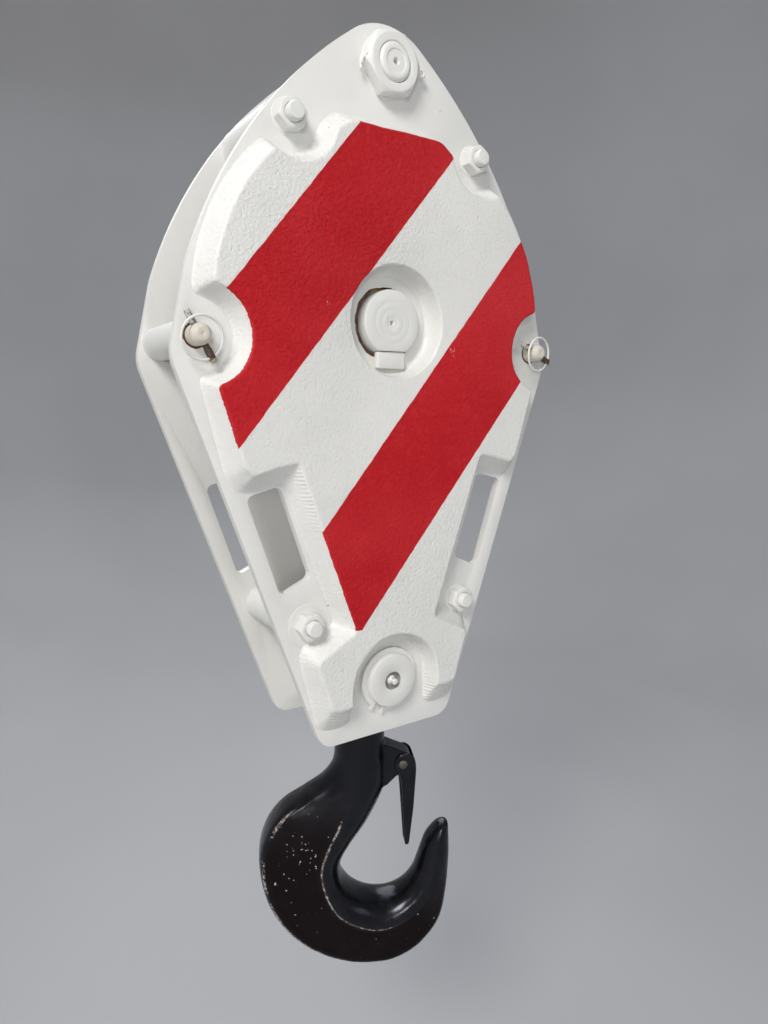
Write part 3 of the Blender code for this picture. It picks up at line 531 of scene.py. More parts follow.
def striped_material(name, side):
    """White cast iron with two red bands on its outer face."""
    paint = Paint(name)
    base, chip = white_coat(paint, True)
    x, y, z = paint.split()
    waver = paint.times(paint.minus(paint.noise(90.0, 2.0), 0.5), 0.0014)
    across = paint.plus(paint.times(x, side * math.sin(STRIPE_SLOPE)),
                        paint.times(z, math.cos(STRIPE_SLOPE)))
    across = paint.plus(across, waver)
    bands, fringes = None, None
    for centre, half in STRIPES:
        away = paint.size(paint.minus(across, centre))
        band = paint.under(away, half)
        fringe = paint.under(away, half + 0.0011)
        bands = band if bands is None else paint.either(bands, band)
        fringes = fringe if fringes is None else paint.either(fringes, fringe)
    ragged = paint.times(paint.minus(paint.noise(420.0, 3.0, 0.7), 0.5), 0.0022)
    height = paint.plus(paint.size(y), ragged)
    wrap = paint.times(paint.step(z, 0.130, 0.136), 0.0022)
    face = paint.over(paint.plus(height, wrap), CHEEK_FACE - 0.0014)
    face = paint.times(face, paint.over(paint.plus(z, ragged), -0.2630))
    red = paint.mix(paint.patches(0.35, 0.70, 9.0, 2.0), RED, LIGHT_RED)
    red = paint.lay(red, LIGHT_RED, paint.patches(0.48, 0.66, 230.0, 3.0, 0.6), 0.45)
    red = paint.lay(red, (0.250, 0.008, 0.012), paint.patches(0.56, 0.70, 300.0, 2.0, 0.6), 0.40)
    scuff = paint.noise(38.0, 4.0, 0.7, paint.stretched(1.0, 1.0, 0.3))
    scuff = paint.times(paint.step(scuff, 0.69, 0.72), paint.patches(0.5, 0.6, 420.0))
    red = paint.mix(scuff, red, PINK)
    base = paint.lay(base, PINK, paint.times(fringes, face), 0.55)
    banded = paint.times(bands, face)
    base = paint.mix(banded, base, red)
    gloss = paint.minus(0.5, paint.times(banded, 0.26))
    paint.drive("Specular IOR Level", gloss)
    base = paint.lay(base, GRIME, chip, 0.45)
    wall = paint.step(paint.minus(CHEEK_FACE, paint.size(y)), 0.0002, 0.0012)
    where = None
    shallow = paint.times(paint.step(paint.size(y), 0.0560, 0.0630), 0.45)
    for sign, low_x, high_x, low_z, high_z, deep in ((side, 0.040, 0.105, -0.190, -0.118, shallow),
                                                     (1.0, 0.040, 0.069, -0.358, -0.330, 1.0),
                                                     (-1.0, 0.040, 0.069, -0.358, -0.330, 1.0)):
        out = paint.times(x, sign)
        spot = paint.times(paint.step(out, low_x, low_x + 0.004),
                          paint.rest(paint.step(out, high_x - 0.004, high_x)))
        spot = paint.times(spot, deep)
        spot = paint.times(spot, paint.step(z, low_z, low_z + (0.004 if deep == 1.0 else 0.030)))
        spot = paint.times(spot, paint.rest(paint.step(z, high_z - 0.004, high_z)))
        where = spot if where is None else paint.either(where, spot)
    drag = paint.plus(paint.times(z, 1.9e3), paint.times(paint.noise(60.0, 1.0), 3.0))
    ridges = paint.times(paint.math("SINE", drag), paint.times(where, wall))
    left = paint.rest(paint.step(paint.times(x, -side), -0.030, 0.060))
    upper = paint.times(left, paint.step(z, -0.070, 0.060))
    lower = paint.times(paint.rest(paint.step(z, -0.230, -0.120)), 1.10)
    crusty = paint.plus(paint.either(upper, lower), 0.22)
    crusty = paint.plus(crusty, paint.times(banded, 0.75))
    crust = paint.patches(0.30, 0.62, 330.0, 2.0, 0.55, distort=0.2)
    crust = paint.times(crust, crusty)
    return finish_white(paint, base, chip, True, [(ridges, 0.45, 0.0006), (crust, 0.30, 0.0007)])


def steel_material(name, colour, rough=0.38, rust=0.25, paint_left=0.0, scale=1.0):
    """Worn steel with rust in patches, and what is left of its paint."""
    paint = Paint(name)
    blotch = paint.noise(75.0 * scale, 4.0, 0.65)
    rusty = paint.step(blotch, 0.72 - rust * 0.45, 0.80 - rust * 0.40)
    grain = paint.noise(420.0 * scale, 3.0, 0.6)
    rust_colour = paint.mix(paint.step(grain, 0.40, 0.62), DARK_RUST, RUST)
    dark = tuple(c * 0.55 for c in colour)
    base = paint.mix(paint.patches(0.35, 0.7, 160.0 * scale, 3.0), dark, colour)
    base = paint.mix(rusty, base, rust_colour)
    covered = None
    if paint_left > 0.0:
        covered = paint.step(paint.noise(120.0 * scale, 4.0, 0.6), 0.62 - paint_left * 0.5,
                             0.65 - paint_left * 0.5)
        base = paint.mix(covered, base, CREAM if paint_left > 0.79 else WHITE)
    paint.colour(base)
    metal = paint.rest(rusty)
    if covered is not None:
        metal = paint.times(metal, paint.rest(covered))
    paint.drive("Metallic", metal)
    paint.rough(paint.plus(paint.times(paint.either(rusty, grain), 0.35), rough))
    paint.bumps((blotch, 0.12, 0.0006), (grain, 0.20, 0.0002))
    return paint.material


def hook_material(name):
    """Glossy black paint: rubbed through along its creases, chipped and brownish on its flat sides."""
    paint = Paint(name)
    edge, panel = paint.attribute("edge"), paint.attribute("panel")
    smear = paint.noise(60.0, 5.0, 0.65)
    fine = paint.noise(330.0, 4.0, 0.65)
    base = paint.mix(paint.step(smear, 0.3, 0.7), (0.0026, 0.0027, 0.0036), (0.0060, 0.0058, 0.0072))
    base = paint.mix(panel, base, paint.mix(smear, (0.0052, 0.0030, 0.0032), (0.0098, 0.0062, 0.0062)))
    dull = paint.times(paint.patches(0.50, 0.75, 24.0, 3.0), 0.45)
    base = paint.mix(dull, base, (0.0125, 0.0098, 0.0100))
    long = paint.noise(26.0, 2.0)
    worn = paint.plus(paint.times(fine, 0.55), paint.times(long, 0.95))
    worn = paint.times(paint.step(worn, 0.64, 0.72), paint.step(edge, 0.42, 0.62))
    x, _, z = paint.split()
    near = paint.rest(paint.step(paint.away(x, z, (-0.058, -0.186)), 0.004, 0.028))
    speck = paint.plus(paint.noise(330.0, 1.0, 0.5), paint.times(near, 0.078))
    speck = paint.times(paint.step(speck, 0.755, 0.775), paint.step(panel, 0.3, 0.6))
    bare = paint.mix(paint.step(fine, 0.44, 0.60), (0.085, 0.055, 0.042), (0.40, 0.37, 0.34))
    base = paint.mix(worn, base, bare)
    base = paint.mix(speck, base, (0.46, 0.43, 0.40))
    paint.colour(base)
    rough = paint.line(paint.step(smear, 0.3, 0.75), 0.14, 0.17)
    rough = paint.plus(rough, paint.times(panel, 0.16))
    paint.rough(paint.plus(rough, paint.times(worn, 0.20)))
    paint.shader.inputs["Specular Tint"].default_value = (0.84, 0.88, 1.0, 1.0)
    gloss = paint.minus(0.34, paint.times(panel, 0.27))
    paint.drive("Specular IOR Level", gloss)
    paint.bumps((paint.noise(42.0, 2.0), 0.25, 0.0014), (fine, 0.12, 0.0004), (worn, -0.45, 0.0004),
                (speck, -0.5, 0.0003))
    return paint.material


def lynch_material(name):
    """A lynch pin: its tail has caught the white paint and its head is rusty."""
    paint = Paint(name)
    x, _, _ = paint.split()
    grain = paint.noise(420.0, 3.0, 0.6)
    base = paint.mix(paint.step(grain, 0.38, 0.62), DARK_RUST, (0.120, 0.070, 0.048))
    light = paint.plus(x, paint.times(paint.minus(grain, 0.5), 0.010))
    light = paint.under(light, -0.0070)
    caught = paint.mix(paint.step(grain, 0.44, 0.60), (0.52, 0.50, 0.45), (0.17, 0.14, 0.12))
    base = paint.mix(light, base, caught)
    tan = paint.over(paint.plus(x, paint.times(grain, 0.003)), 0.0212)
    base = paint.mix(tan, base, (0.40, 0.32, 0.23))
    paint.colour(base)
    paint.rough(paint.line(grain, 0.3, 0.45))
    paint.bumps((grain, 0.30, 0.0003))
    return paint.material


def recess_material(name):
    """White paint, with painted shade: a dark colour down in the small bores of the journals."""
    paint = Paint(name)
    base, chip = white_coat(paint, False)
    x, y, z = paint.split()
    radius = paint.plus(paint.away(x, z, (0.0, 0.0)), paint.times(paint.noise(300.0), 0.0006))
    # Painted shade: the bottom of the journal bores round the nipple is coloured dark.
    deep = paint.times(paint.under(radius, 0.0089),
                      paint.under(paint.size(y), 0.0594))
    base = paint.mix(deep, base, paint.mix(paint.noise(200.0), (0.22, 0.21, 0.20), (0.55, 0.53, 0.50)))
    return finish_white(paint, base, chip, False)


def bronze_material(name):
    paint = Paint(name)
    rings = paint.noise(220.0, 3.0, 0.6)
    dirty = paint.patches(0.45, 0.75, 60.0, 3.0)
    base = paint.mix(dirty, (0.56, 0.36, 0.16), (0.16, 0.10, 0.055))
    paint.colour(base)
    paint.shader.inputs["Metallic"].default_value = 1.0
    paint.rough(paint.line(rings, 0.2, 0.28))
    paint.bumps((rings, 0.15, 0.0002))
    return paint.material


def grease_material(name):
    """Machined sheave steel under old grease."""
    paint = Paint(name)
    x, y, z = paint.split()
    radius = paint.away(x, z, (0.0, 0.0))
    rubbed = paint.rest(paint.step(paint.size(y), 0.0062, 0.0085))
    rubbed = paint.times(rubbed, paint.step(radius, 0.120, 0.126))
    smear = paint.noise(48.0, 4.0, 0.6)
    base = paint.mix(paint.step(smear, 0.35, 0.7), (0.085, 0.080, 0.074), (0.150, 0.142, 0.130))
    base = paint.lay(base, RUST, paint.patches(0.58, 0.7, 110.0, 4.0), 0.7)
    base = paint.mix(rubbed, base, (0.42, 0.40, 0.37))
    paint.colour(base)
    paint.drive("Metallic", paint.line(rubbed, 0.6, 0.3))
    paint.rough(paint.line(smear, 0.35, 0.25))
    paint.bumps((paint.noise(90.0, 3.0), 0.2, 0.0008), (paint.noise(400.0, 2.0), 0.15, 0.0002))
    return paint.material


M_PLATE = plate_material("plate_white")
M_WHITE = white_material("enamel_white")
M_CHEEK = {-1: striped_material("striped_front", -1.0), 1: striped_material("striped_rear", 1.0)}
M_HOOK = hook_material("hook_black")
M_STEEL = steel_material("zinc_steel", (0.50, 0.48, 0.44), 0.30, 0.15)
M_DARK = steel_material("dark_steel", (0.24, 0.22, 0.20), 0.36, 0.30)
M_LYNCH = lynch_material("lynch_pin")
M_PIN = steel_material("guard_pin_tip", (0.42, 0.39, 0.35), 0.42, 0.22, 0.80)
M_CLIP = steel_material("painted_steel", (0.34, 0.33, 0.31), 0.40, 0.20, 0.78)
M_NIPPLE = steel_material("bright_nipple", (0.78, 0.78, 0.80), 0.22, 0.02, 0.50)
M_TRUNNION = recess_material("trunnion_white")
M_RING = steel_material("ring_wire", (0.62, 0.60, 0.56), 0.28, 0.25, 0.55)
M_BRONZE = bronze_material("bearing_bronze")
M_SHEAVE = grease_material("sheave_steel")


# ---------------------------------------------------------------- side plates
def side_arc(start, end, radius, steps):
    """An arc of a given radius that bulges outwards between two points."""
    first, last = Vector(start), Vector(end)
    chord = last - first
    inward = Vector((-chord.y, chord.x)).normalized()
    inward = inward if inward.x < 0.0 else -inward
    centre = (first + last) / 2.0 + inward * math.sqrt(radius ** 2 - (chord.length / 2.0) ** 2)
    return arc(tuple(centre), radius, angle_of(start, centre), angle_of(end, centre), steps)


def plate_outline():
    half = arc((0.0, 0.181), 0.055, 90.0, 51.4, 14)
    half += side_arc(half[-1], (0.1745, 0.033), 0.390, 24)[1:]
    half += arc((0.153, -0.031), 0.035, 12.5, -19.5, 10)
    half += arc((0.0566, -0.354), 0.018, -19.5, -90.0, 14)
    return mirrored(half)


def side_plate(name, side):
    window = ((0.1045, -0.1345), (0.1350, -0.1415), (0.1065, -0.2270), (0.0775, -0.2140))
    holes = [circle(0.0302, 96), circle(0.0176, 64, (0.0, BECKET_Z)), circle(0.0256, 96, (0.0, TRUNNION_Z)),
             rounded(window, 0.006), rounded([(-x, z) for x, z in window], 0.006)]
    for (x, z), radius in ((UPPER_BOLT, 0.0073), (LOWER_BOLT, 0.0073), (GUARD_PIN, 0.0083)):
        holes += [circle(radius, 32, (x, z)), circle(radius, 32, (-x, z))]
    solid = Solid()
    sets = []
    for height in (side * PLATE_OUT, side * PLATE_IN):
        rings = [solid.ring(points, height) for points in [plate_outline()] + holes]
        solid.cap(*rings)
        sets.append(rings)
    for first, second in zip(*sets):
        solid.wall(first, second)
    made = solid.finish("look_" + name, M_PLATE)
    bevel(made, 0.0010, 3)
    return piece(made, "block", name)


# ---------------------------------------------------------------- cheek weights
def cheek_outline(spread):
    """Outline of a cheek weight: spread 0 on its outer face, 1 where it meets the plate."""
    side = 0.162 + 0.009 * spread
    upper, guard = 0.0350 - 0.0075 * spread, 0.0385 - 0.0075 * spread
    corner = crossing((0.0, 0.0), side, UPPER_BOLT, upper, True)
    shoulder = crossing((0.0, 0.0), side, GUARD_PIN, guard, False)
    top = 0.1505 + 0.009 * spread
    half = [(0.0, top), (0.0440 + 0.006 * spread, top)]
    half += arc(UPPER_BOLT, upper, 189.0 - 6.0 * spread, 360.0 + angle_of(corner, UPPER_BOLT), 24)
    half += arc((0.0, 0.0), side, angle_of(corner, (0, 0)), angle_of(shoulder, (0, 0)), 18)[1:]
    flank = (0.1590 + 0.0085 * spread, -0.0580 + 0.006 * spread)
    half += arc(GUARD_PIN, guard, angle_of(shoulder, GUARD_PIN), 360.0 + angle_of(flank, GUARD_PIN), 24)[1:]
    half += [(0.1405 + 0.0090 * spread, -0.1170 - 0.008 * spread),
             (0.1330 + 0.0060 * spread, -0.1240 - 0.0128 * spread),
             (0.1130 + 0.0020 * spread, -0.1180 - 0.016 * spread),
             (0.0950 + 0.0070 * spread, -0.1150 - 0.016 * spread),
             (0.0420 + 0.013 * spread, -0.2640 + 0.006 * spread),
             (0.0790 + 0.0090 * spread, -0.2835 + 0.008 * spread),
             (0.0812 + 0.009 * spread, -0.2875 + 0.004 * spread),
             (0.0675 + 0.0054 * spread, -0.3305 - 0.021 * spread),
             (0.0600, -0.3330 - 0.021 * spread),
             (0.046 - 0.004 * spread, -0.3320 - 0.021 * spread)]
    half += arc((0.0, TRUNNION_Z), 0.046 - 0.004 * spread, 0.0, 90.0, 18)
    return mirrored(half)


def cheek_profile():
    """(height over the plate, share of the way to the face's outline, offset outwards)."""
    levels = [(0.0, 0.0, 0.0020), (0.0007, 0.0, 0.0007), (0.0026, 0.08, 0.0), (0.0060, 0.32, 0.0),
              (0.0098, 0.58, 0.0), (0.0126, 0.78, 0.0)]
    for i in range(5):
        t = i / 4.0
        left = (1.0 - t) ** 2
        levels.append((0.0146 * left + 0.0167 * (1.0 - left), 0.90 * left + 1.0 - left, -0.0022 * t * t))
    return levels + [(0.0167, 1.0, -0.0030)]


def cheek_weight(name, side):
    base, face = paired(cheek_outline(1.0), cheek_outline(0.0), 960)
    base, face = softened(base, 9), softened(face, 3)
    base_out, face_out = softened(normals(base), 8), softened(normals(face), 7)
    solid = Solid()
    rings = []
    for height, share, offset in cheek_profile():
        points = []
        for i, start in enumerate(base):
            spot = start.lerp(face[i], share)
            spot += (base_out[i].lerp(face_out[i], share)) * offset
            coarse = noise.noise(Vector((spot.x * 45.0, spot.y * 45.0, side * 7.0 + height * 60.0)))
            fine = noise.noise(Vector((spot.x * 160.0, spot.y * 160.0, side * 3.0 + height * 90.0)))
            grow = 0.00055 * coarse + 0.00022 * fine
            points.append(spot + face_out[i] * grow * (1.0 if height > 0.0 else 0.0))
        rings.append(solid.ring(points, side * (SEAT + height)))
    solid.wall(*rings)
    bores = []
    for height, radius in ((0.0, 0.0388), (0.0005, 0.0400), (0.0014, 0.0412), (0.0030, 0.0425),
                           (0.0055, 0.0437), (0.0090, 0.0449), (0.0125, 0.0458), (0.0148, 0.0463),
                           (0.0160, 0.0467), (0.0165, 0.0472), (0.0167, 0.0480)):
        points = []
        for x, z in circle(radius, 144):
            wobble = 1.0 + 0.010 * noise.noise(Vector((x * 40.0, z * 40.0, side * 2.0)))
            points.append((x * wobble, z * wobble))
        bores.append(solid.ring(points, side * (SEAT + height)))
    solid.wall(*bores)
    solid.cap(rings[0], bores[0])
    solid.cap(rings[-1], bores[-1])
    made = solid.finish("look_" + name, M_CHEEK[side], sharp=50.0)
    return piece(made, "block", name)


# ---------------------------------------------------------------- nuts, bolts and pins
def nut(name, flats, start, end, bore, material, turn=0.0, count=72):
    """A hexagon nut along Y with a true conical chamfer on its outer end."""
    way = math.copysign(1.0, end - start)
    lip = flats * 0.475
    solid = Solid()
    low, high, top = [], [], []
    for i in range(count):
        angle = 360.0 * i / count
        reach = flats / 2.0 / math.cos(math.radians((angle - turn) % 60.0 - 30.0))
        x, z = polar(1.0, angle)
        fall = max(reach - lip, 0.0) * 0.62
        low.append((x * reach, start, z * reach))
        high.append((x * reach, end - way * fall, z * reach))
        top.append((x * min(lip, reach), end, z * min(lip, reach)))
    rings = [solid.ring3(points) for points in (low, high, top)]
    solid.wall(*rings)
    mouth = solid.ring(circle(bore + 0.0006, count), end)
    throat = solid.ring(circle(bore, count), end - way * 0.0008)
    base = solid.ring(circle(bore, count), start)
    solid.wall(rings[-1], mouth, throat, base, rings[0])
    return solid.finish(name, material)


def paint_pad(name, radius, thick, seed, side=-1, inner=0.0105):
    """The irregular washer and puddle of paint under a nut."""
    solid = Solid()
    rings = []
    for grow, height in ((0.0, 0.0), (-0.0003, 0.55), (-0.0010, 0.9), (-0.0020, 1.0)):
        points = []
        for x, z in circle(1.0, 90):
            reach = radius * (1.0 + 0.045 * noise.noise(Vector((x * 1.6, z * 1.6, seed)))) + grow
            points.append((x * reach, z * reach))
        rings.append(solid.ring(points, side * (PLATE_OUT + thick * height)))
    rings.append(solid.ring(circle(inner, 90), side * (PLATE_OUT + thick)))
    rings.append(solid.ring(circle(inner, 90), side * PLATE_OUT))
    solid.wall(*rings)
    solid.wall(rings[-1], rings[0])
    return solid.finish(name, M_WHITE)


def tie_bolts():
    for level, (x, z) in (("upper", UPPER_BOLT), ("lower", LOWER_BOLT)):
        for label, side in (("left", -1), ("right", 1)):
            name = "%s_%s" % (level, label)
            seed = x * 100.0 + side * 3.0
            turn = {"upper_left": 12.0, "upper_right": 24.0, "lower_left": 2.0, "lower_right": 17.0}[name]
            wide, thick = (0.0190, 0.0003) if level == "lower" and side < 0 else (0.0138, 0.0007)
            front = nut("look_tie_nut_" + name, 0.0220, -SEAT, -0.0608, 0.0072, M_WHITE, turn)
            bevel(front, 0.0007, 3, 25.0)
            front = joined(front, paint_pad("pad", wide, thick, seed))
            piece(shift(front, side * x, 0.0, z), "block", "tie_nut_" + name)
            profile = [(0.0, 0.0500), (0.0070, 0.0500), (0.0070, -0.0647), (0.0067, -0.0654),
                       (0.0059, -0.0664), (0.0053, -0.0665), (0.0, -0.0662)]
            stub = lathe("look_tie_bolt_" + name, profile, 40, M_WHITE)
            head = nut("head", 0.0220, SEAT, 0.0603, 0.0004, M_WHITE, turn + 9.0)
            bevel(head, 0.0007, 3, 25.0)
            stub = joined(stub, head, paint_pad("pad", 0.0140, 0.0007, seed + 9.0, 1))
            piece(shift(stub, side * x, 0.0, z), "block", "tie_bolt_" + name)
            turned("spacer_tube_" + name, pipe(0.0175, 0.0080), 48, M_WHITE, "block",
                   (side * x, 0.0, z))


def becket():
    profile = [(0.0, -0.0560), (0.0019, -0.0566), (0.0022, -0.0620), (0.0030, -0.0628), (0.0086, -0.0628),
               (0.0092, -0.0633), (0.0098, -0.0634), (0.0120, -0.0634), (0.0128, -0.0632),
               (0.0143, -0.0622), (0.0150, -0.0612), (0.0150, -0.0505), (0.0170, -0.0500), (0.0170, SEAT),
               (0.0250, SEAT), (0.0250, 0.0574), (0.0243, 0.0589), (0.0232, 0.0593), (0.0, 0.0593)]
    at = (0.0, 0.0, BECKET_Z)
    turned("becket_pin", profile, 72, M_WHITE, "block", at)
    made = nut("look_becket_nut", 0.0460, -SEAT, -0.0618, 0.0153, M_WHITE, 6.0, 120)
    bevel(made, 0.0008, 3, 25.0)
    boolean(made, shift(lathe("drill", rod(0.0024, 0.03), 16, M_WHITE, "X"), 0.0, SPLIT_PIN_Y, 0.0))
    made = joined(made, paint_pad("pad", 0.0258, 0.0006, 4.0, -1, 0.0200))
    piece(shift(made, *at), "block", "becket_nut")
    leg = []
    for lift in (-0.00085, 0.00085):
        path = [(0.0278, lift * 0.6), (0.0, lift), (-0.0240, lift), (-0.0266, lift * 0.8 - 0.0004),
                (-0.0284, lift * 0.6 - 0.0018), (-0.0292, lift * 0.4 - 0.0044)]
        path += [(-0.0294, -0.0070), (-0.0290, -0.0096)] if lift > 0.0 else [(-0.0288, -0.0062)]
        leg.append(wire([(x, SPLIT_PIN_Y + lift * 0.8, z) for x, z in path], 0.00125).finish("leg", M_CLIP))
    loop = [(x, SPLIT_PIN_Y, z) for x, z in circle(0.0024, 24, (0.0300, 0.0))]
    leg.append(wire(loop, 0.00120, closed=True).finish("look_becket_split_pin", M_CLIP))
    pin = joined(leg[2], leg[0], leg[1])
    piece(shift(pin, *at), "block", "becket_split_pin")
    for name, side in ENDS:
        profile = [(0.0220, side * 0.0187), (0.0213, side * 0.0180), (0.0174, side * 0.0180),
                   (0.0174, side * INSIDE), (0.0220, side * INSIDE)]
        turned("becket_sleeve_" + name, profile, 72, M_WHITE, "block", at)


def box(name, half, middle, material, width=0.0):
    """A block of the given half sizes, bevelled if a width is given."""
    corners = [(-half[0], -half[2]), (half[0], -half[2]), (half[0], half[2]), (-half[0], half[2])]
    made = stack([(-half[1], corners), (half[1], corners)]).finish(name, material)
    if width:
        bevel(made, width, 3)
    return shift(made, *middle)


def nipple(name, material):
    """A grease nipple along +Y."""
    profile = [(0.0, 0.0), (0.0042, 0.0), (0.0045, 0.0004), (0.0045, 0.0026), (0.0040, 0.0030),
               (0.0024, 0.0044), (0.0020, 0.0054), (0.0022, 0.0070), (0.0030, 0.0079),
               (0.0030, 0.0086), (0.0022, 0.0094), (0.0010, 0.0095), (0.0, 0.0091)]
    return lathe(name, profile, 24, material)


def axle():
    profile = [(0.0, -0.0520), (0.0014, -0.0526), (0.0017, -0.0568), (0.0024, -0.0575), (0.0036, -0.0574),
               (0.0050, -0.0577), (0.0062, -0.0580), (0.0075, -0.0581),
               (0.0104, -0.0581), (0.0108, -0.0580), (0.0112, -0.0581),
               (0.0168, -0.0581), (0.0172, -0.0580), (0.0177, -0.0581), (0.0263, -0.0581),
               (0.0274, -0.0577), (0.0280, -0.0566), (0.0280, 0.0566), (0.0265, 0.0581), (0.0, 0.0581)]
    made = lathe("look_sheave_axle", profile, 96, M_WHITE)
    for side in (-1, 1):
        boolean(made, box("flat", (0.03, 0.0102, 0.010), (0.0, side * 0.060, -0.0335), M_WHITE))
    bevel(made, 0.0007, 2)
    piece(made, "block", "sheave_axle")
    for name, side in ENDS:
        keeper = box("look_axle_keeper_" + name, (0.0145, 0.0031, 0.00725), (0.0, side * 0.0534, -0.03105),
                     M_WHITE, 0.0017)
        piece(keeper, "block", "axle_keeper_" + name)
        washer = [(0.0455, side * 0.0343), (0.0460, side * 0.0348), (0.0460, side * INSIDE),
                  (0.0283, side * INSIDE), (0.0283, side * 0.0343)]
        turned("sheave_side_washer_" + name, washer, 96, M_BRONZE, "block")
    piece(shift(nipple("look_axle_grease_nipple", M_STEEL), 0.0, 0.0584, 0.0), "block", "axle_grease_nipple")


def guard_pins():
    for label, side, angle in (("left", -1, -61.5), ("right", 1, -24.5)):
        x, z = side * GUARD_PIN[0], GUARD_PIN[1]
        profile = [(0.0, -0.0660), (0.0009, -0.0667), (0.0016, -0.0670), (0.0044, -0.0670), (0.0052, -0.0667),
                   (0.0060, -0.0658), (0.0073, -0.0639), (0.0079, -0.0628), (0.0080, -0.0618),
                   (0.0080, SEAT), (0.0130, SEAT), (0.0130, 0.0552), (0.0124, 0.0561), (0.0115, 0.0563),
                   (0.0, 0.0563)]
        turned("guard_pin_" + label, profile, 48, M_PIN, "guard_pin_%s_body" % label,
               (x, 0.0, z))
        turned("guard_tube_" + label, pipe(0.0140, 0.0090), 64, M_WHITE, "block", (x, 0.0, z))
        place = Matrix.Translation((x, -LYNCH_Y, z)) @ Matrix.Rotation(math.radians(-angle), 4, "Y")
        profile = [(0.0, -0.0195), (0.0014, -0.0194), (0.0020, -0.0189), (0.0022, -0.0178), (0.0025, -0.0165),
                   (0.0025, 0.0110), (0.0026, 0.0115), (0.0028, 0.0122), (0.0029, 0.0132), (0.0029, 0.0208),
                   (0.0027, 0.0216), (0.0022, 0.0223), (0.0015, 0.0225), (0.0, 0.0225)]
        lynch = lathe("look_lynch_pin_" + label, profile, 32, M_LYNCH, axis="X")
        boolean(lynch, shift(lathe("eye", rod(0.0018, 0.006), 20, M_LYNCH, "Z"), LYNCH_EYE, 0.0, 0.0))
        piece(lynch, "lynch_pin_%s_body" % label, "lynch_pin_" + label, place)
        lean = Matrix.Translation((LYNCH_EYE, 0.0, 0.0)) @ Matrix.Rotation(RING_LEAN, 4, "Z")
        loop = [(x, 0.0, z) for x, z in circle(RING_RADIUS, 72, (-RING_RADIUS, 0.0))]
        ring = wire(loop, 0.00100, 14, closed=True).finish("look_lynch_ring_" + label, M_RING)
        piece(ring, "lynch_ring_%s_body" % label, "lynch_ring_" + label, place @ lean)


# ---------------------------------------------------------------- sheave
def sheave():
    rise = [math.radians(a) for a in range(-60, 61, 6)]
    groove = [(0.128 + 0.0071 * (1.0 - math.cos(a)), 0.0071 * math.sin(a)) for a in rise]
    flank = [(0.1480, 0.0133), (0.1493, 0.0146), (0.1500, 0.0162), (0.1500, 0.0195), (0.1495, 0.0208),
             (0.1484, 0.0215), (0.1440, 0.0210), (0.1290, 0.0172), (0.1230, 0.0132), (0.1185, 0.0088),
             (0.1150, 0.0068), (0.1100, 0.0060), (0.0680, 0.0060), (0.0620, 0.0075), (0.0580, 0.0115),
             (0.0562, 0.0165), (0.0560, 0.0325), (0.0548, 0.0340), (0.0385, 0.0340)]
    profile = groove + both_ends(flank)
    made = lathe("look_sheave", profile, 180, M_SHEAVE, sharp=30.0)
    piece(made, "sheave_body", ["sheave", "sheave_flange_front", "sheave_flange_rear"])
    bush = [(0.0378, -0.0340), (0.0378, 0.0340), (0.0290, 0.0340), (0.0283, 0.0333), (0.0283, -0.0333),
            (0.0290, -0.0340)]
    turned("sheave_bush", bush, 96, M_BRONZE, "sheave_body")


# ---------------------------------------------------------------- crosshead
def crosshead():
    lift = Matrix.Translation((0.0, 0.0, TRUNNION_Z))
    outline = rounded([(-0.050, -0.0415), (0.050, -0.0415), (0.050, 0.0415), (-0.050, 0.0415)], 0.022, 12)
    made = stack([(-0.0375, outline), (0.0375, outline)], "Z").finish("look_crosshead", M_TRUNNION)
    profile = [(0.0, -0.0540), (0.0085, -0.0540), (0.0085, -0.0597), (0.0090, -0.0600), (0.0232, -0.0600),
               (0.0244, -0.0596), (0.0250, -0.0584), (0.0250, -0.0543), (0.0238, -0.0542), (0.0238, -0.0520),
               (0.0250, -0.0519)]
    bevel(made, 0.0030, 4)
    boolean(made, lathe("journals", both_ends(profile), 96, M_TRUNNION), "UNION")
    boolean(made, lathe("bore", rod(0.0256, 0.06), 96, M_TRUNNION, "Z"))
    made.data.shade_smooth()
    made.data.set_sharp_from_angle(angle=SHARP_EDGE)
    piece(made, "crosshead_body", "crosshead", lift)
    outer, ear, opening = 0.0296, 0.0331, -118.0
    outline = [polar(ear, opening + 9.0), polar(ear, opening + 14.0)]
    outline += arc((0, 0), outer, opening + 15.0, opening + 345.0, 90)
    outline += [polar(ear, opening - 14.0), polar(ear, opening - 9.0)]
    outline += arc((0, 0), 0.0243, opening + 351.0, opening + 9.0, 90)
    for name, side in ENDS:
        clip = stack([(side * 0.0523, outline), (side * 0.0539, outline)])
        clip = clip.finish("look_journal_circlip_" + name, M_CLIP)
        piece(clip, "crosshead_body", "journal_circlip_" + name, lift)
        spot = nipple("look_journal_grease_nipple_" + name, M_NIPPLE)
        spot.data.transform(Matrix.Scale(side, 4, (0.0, 1.0, 0.0)))
        if side < 0:
            spot.data.flip_normals()
        shift(spot, 0.0, side * 0.0543, 0.0)
        piece(spot, "crosshead_body", "journal_grease_nipple_" + name, lift)
    race = [(0.0384, 0.0378), (0.0390, 0.0384), (0.0390, 0.0447), (0.0384, 0.0453), (0.0350, 0.0453),
            (0.0320, 0.0447), (0.0290, 0.0453), (0.0262, 0.0453), (0.0258, 0.0449), (0.0258, 0.0378)]
    turned("thrust_race_lower", race, 96, M_STEEL, "crosshead_body", axis="Z", place=lift)


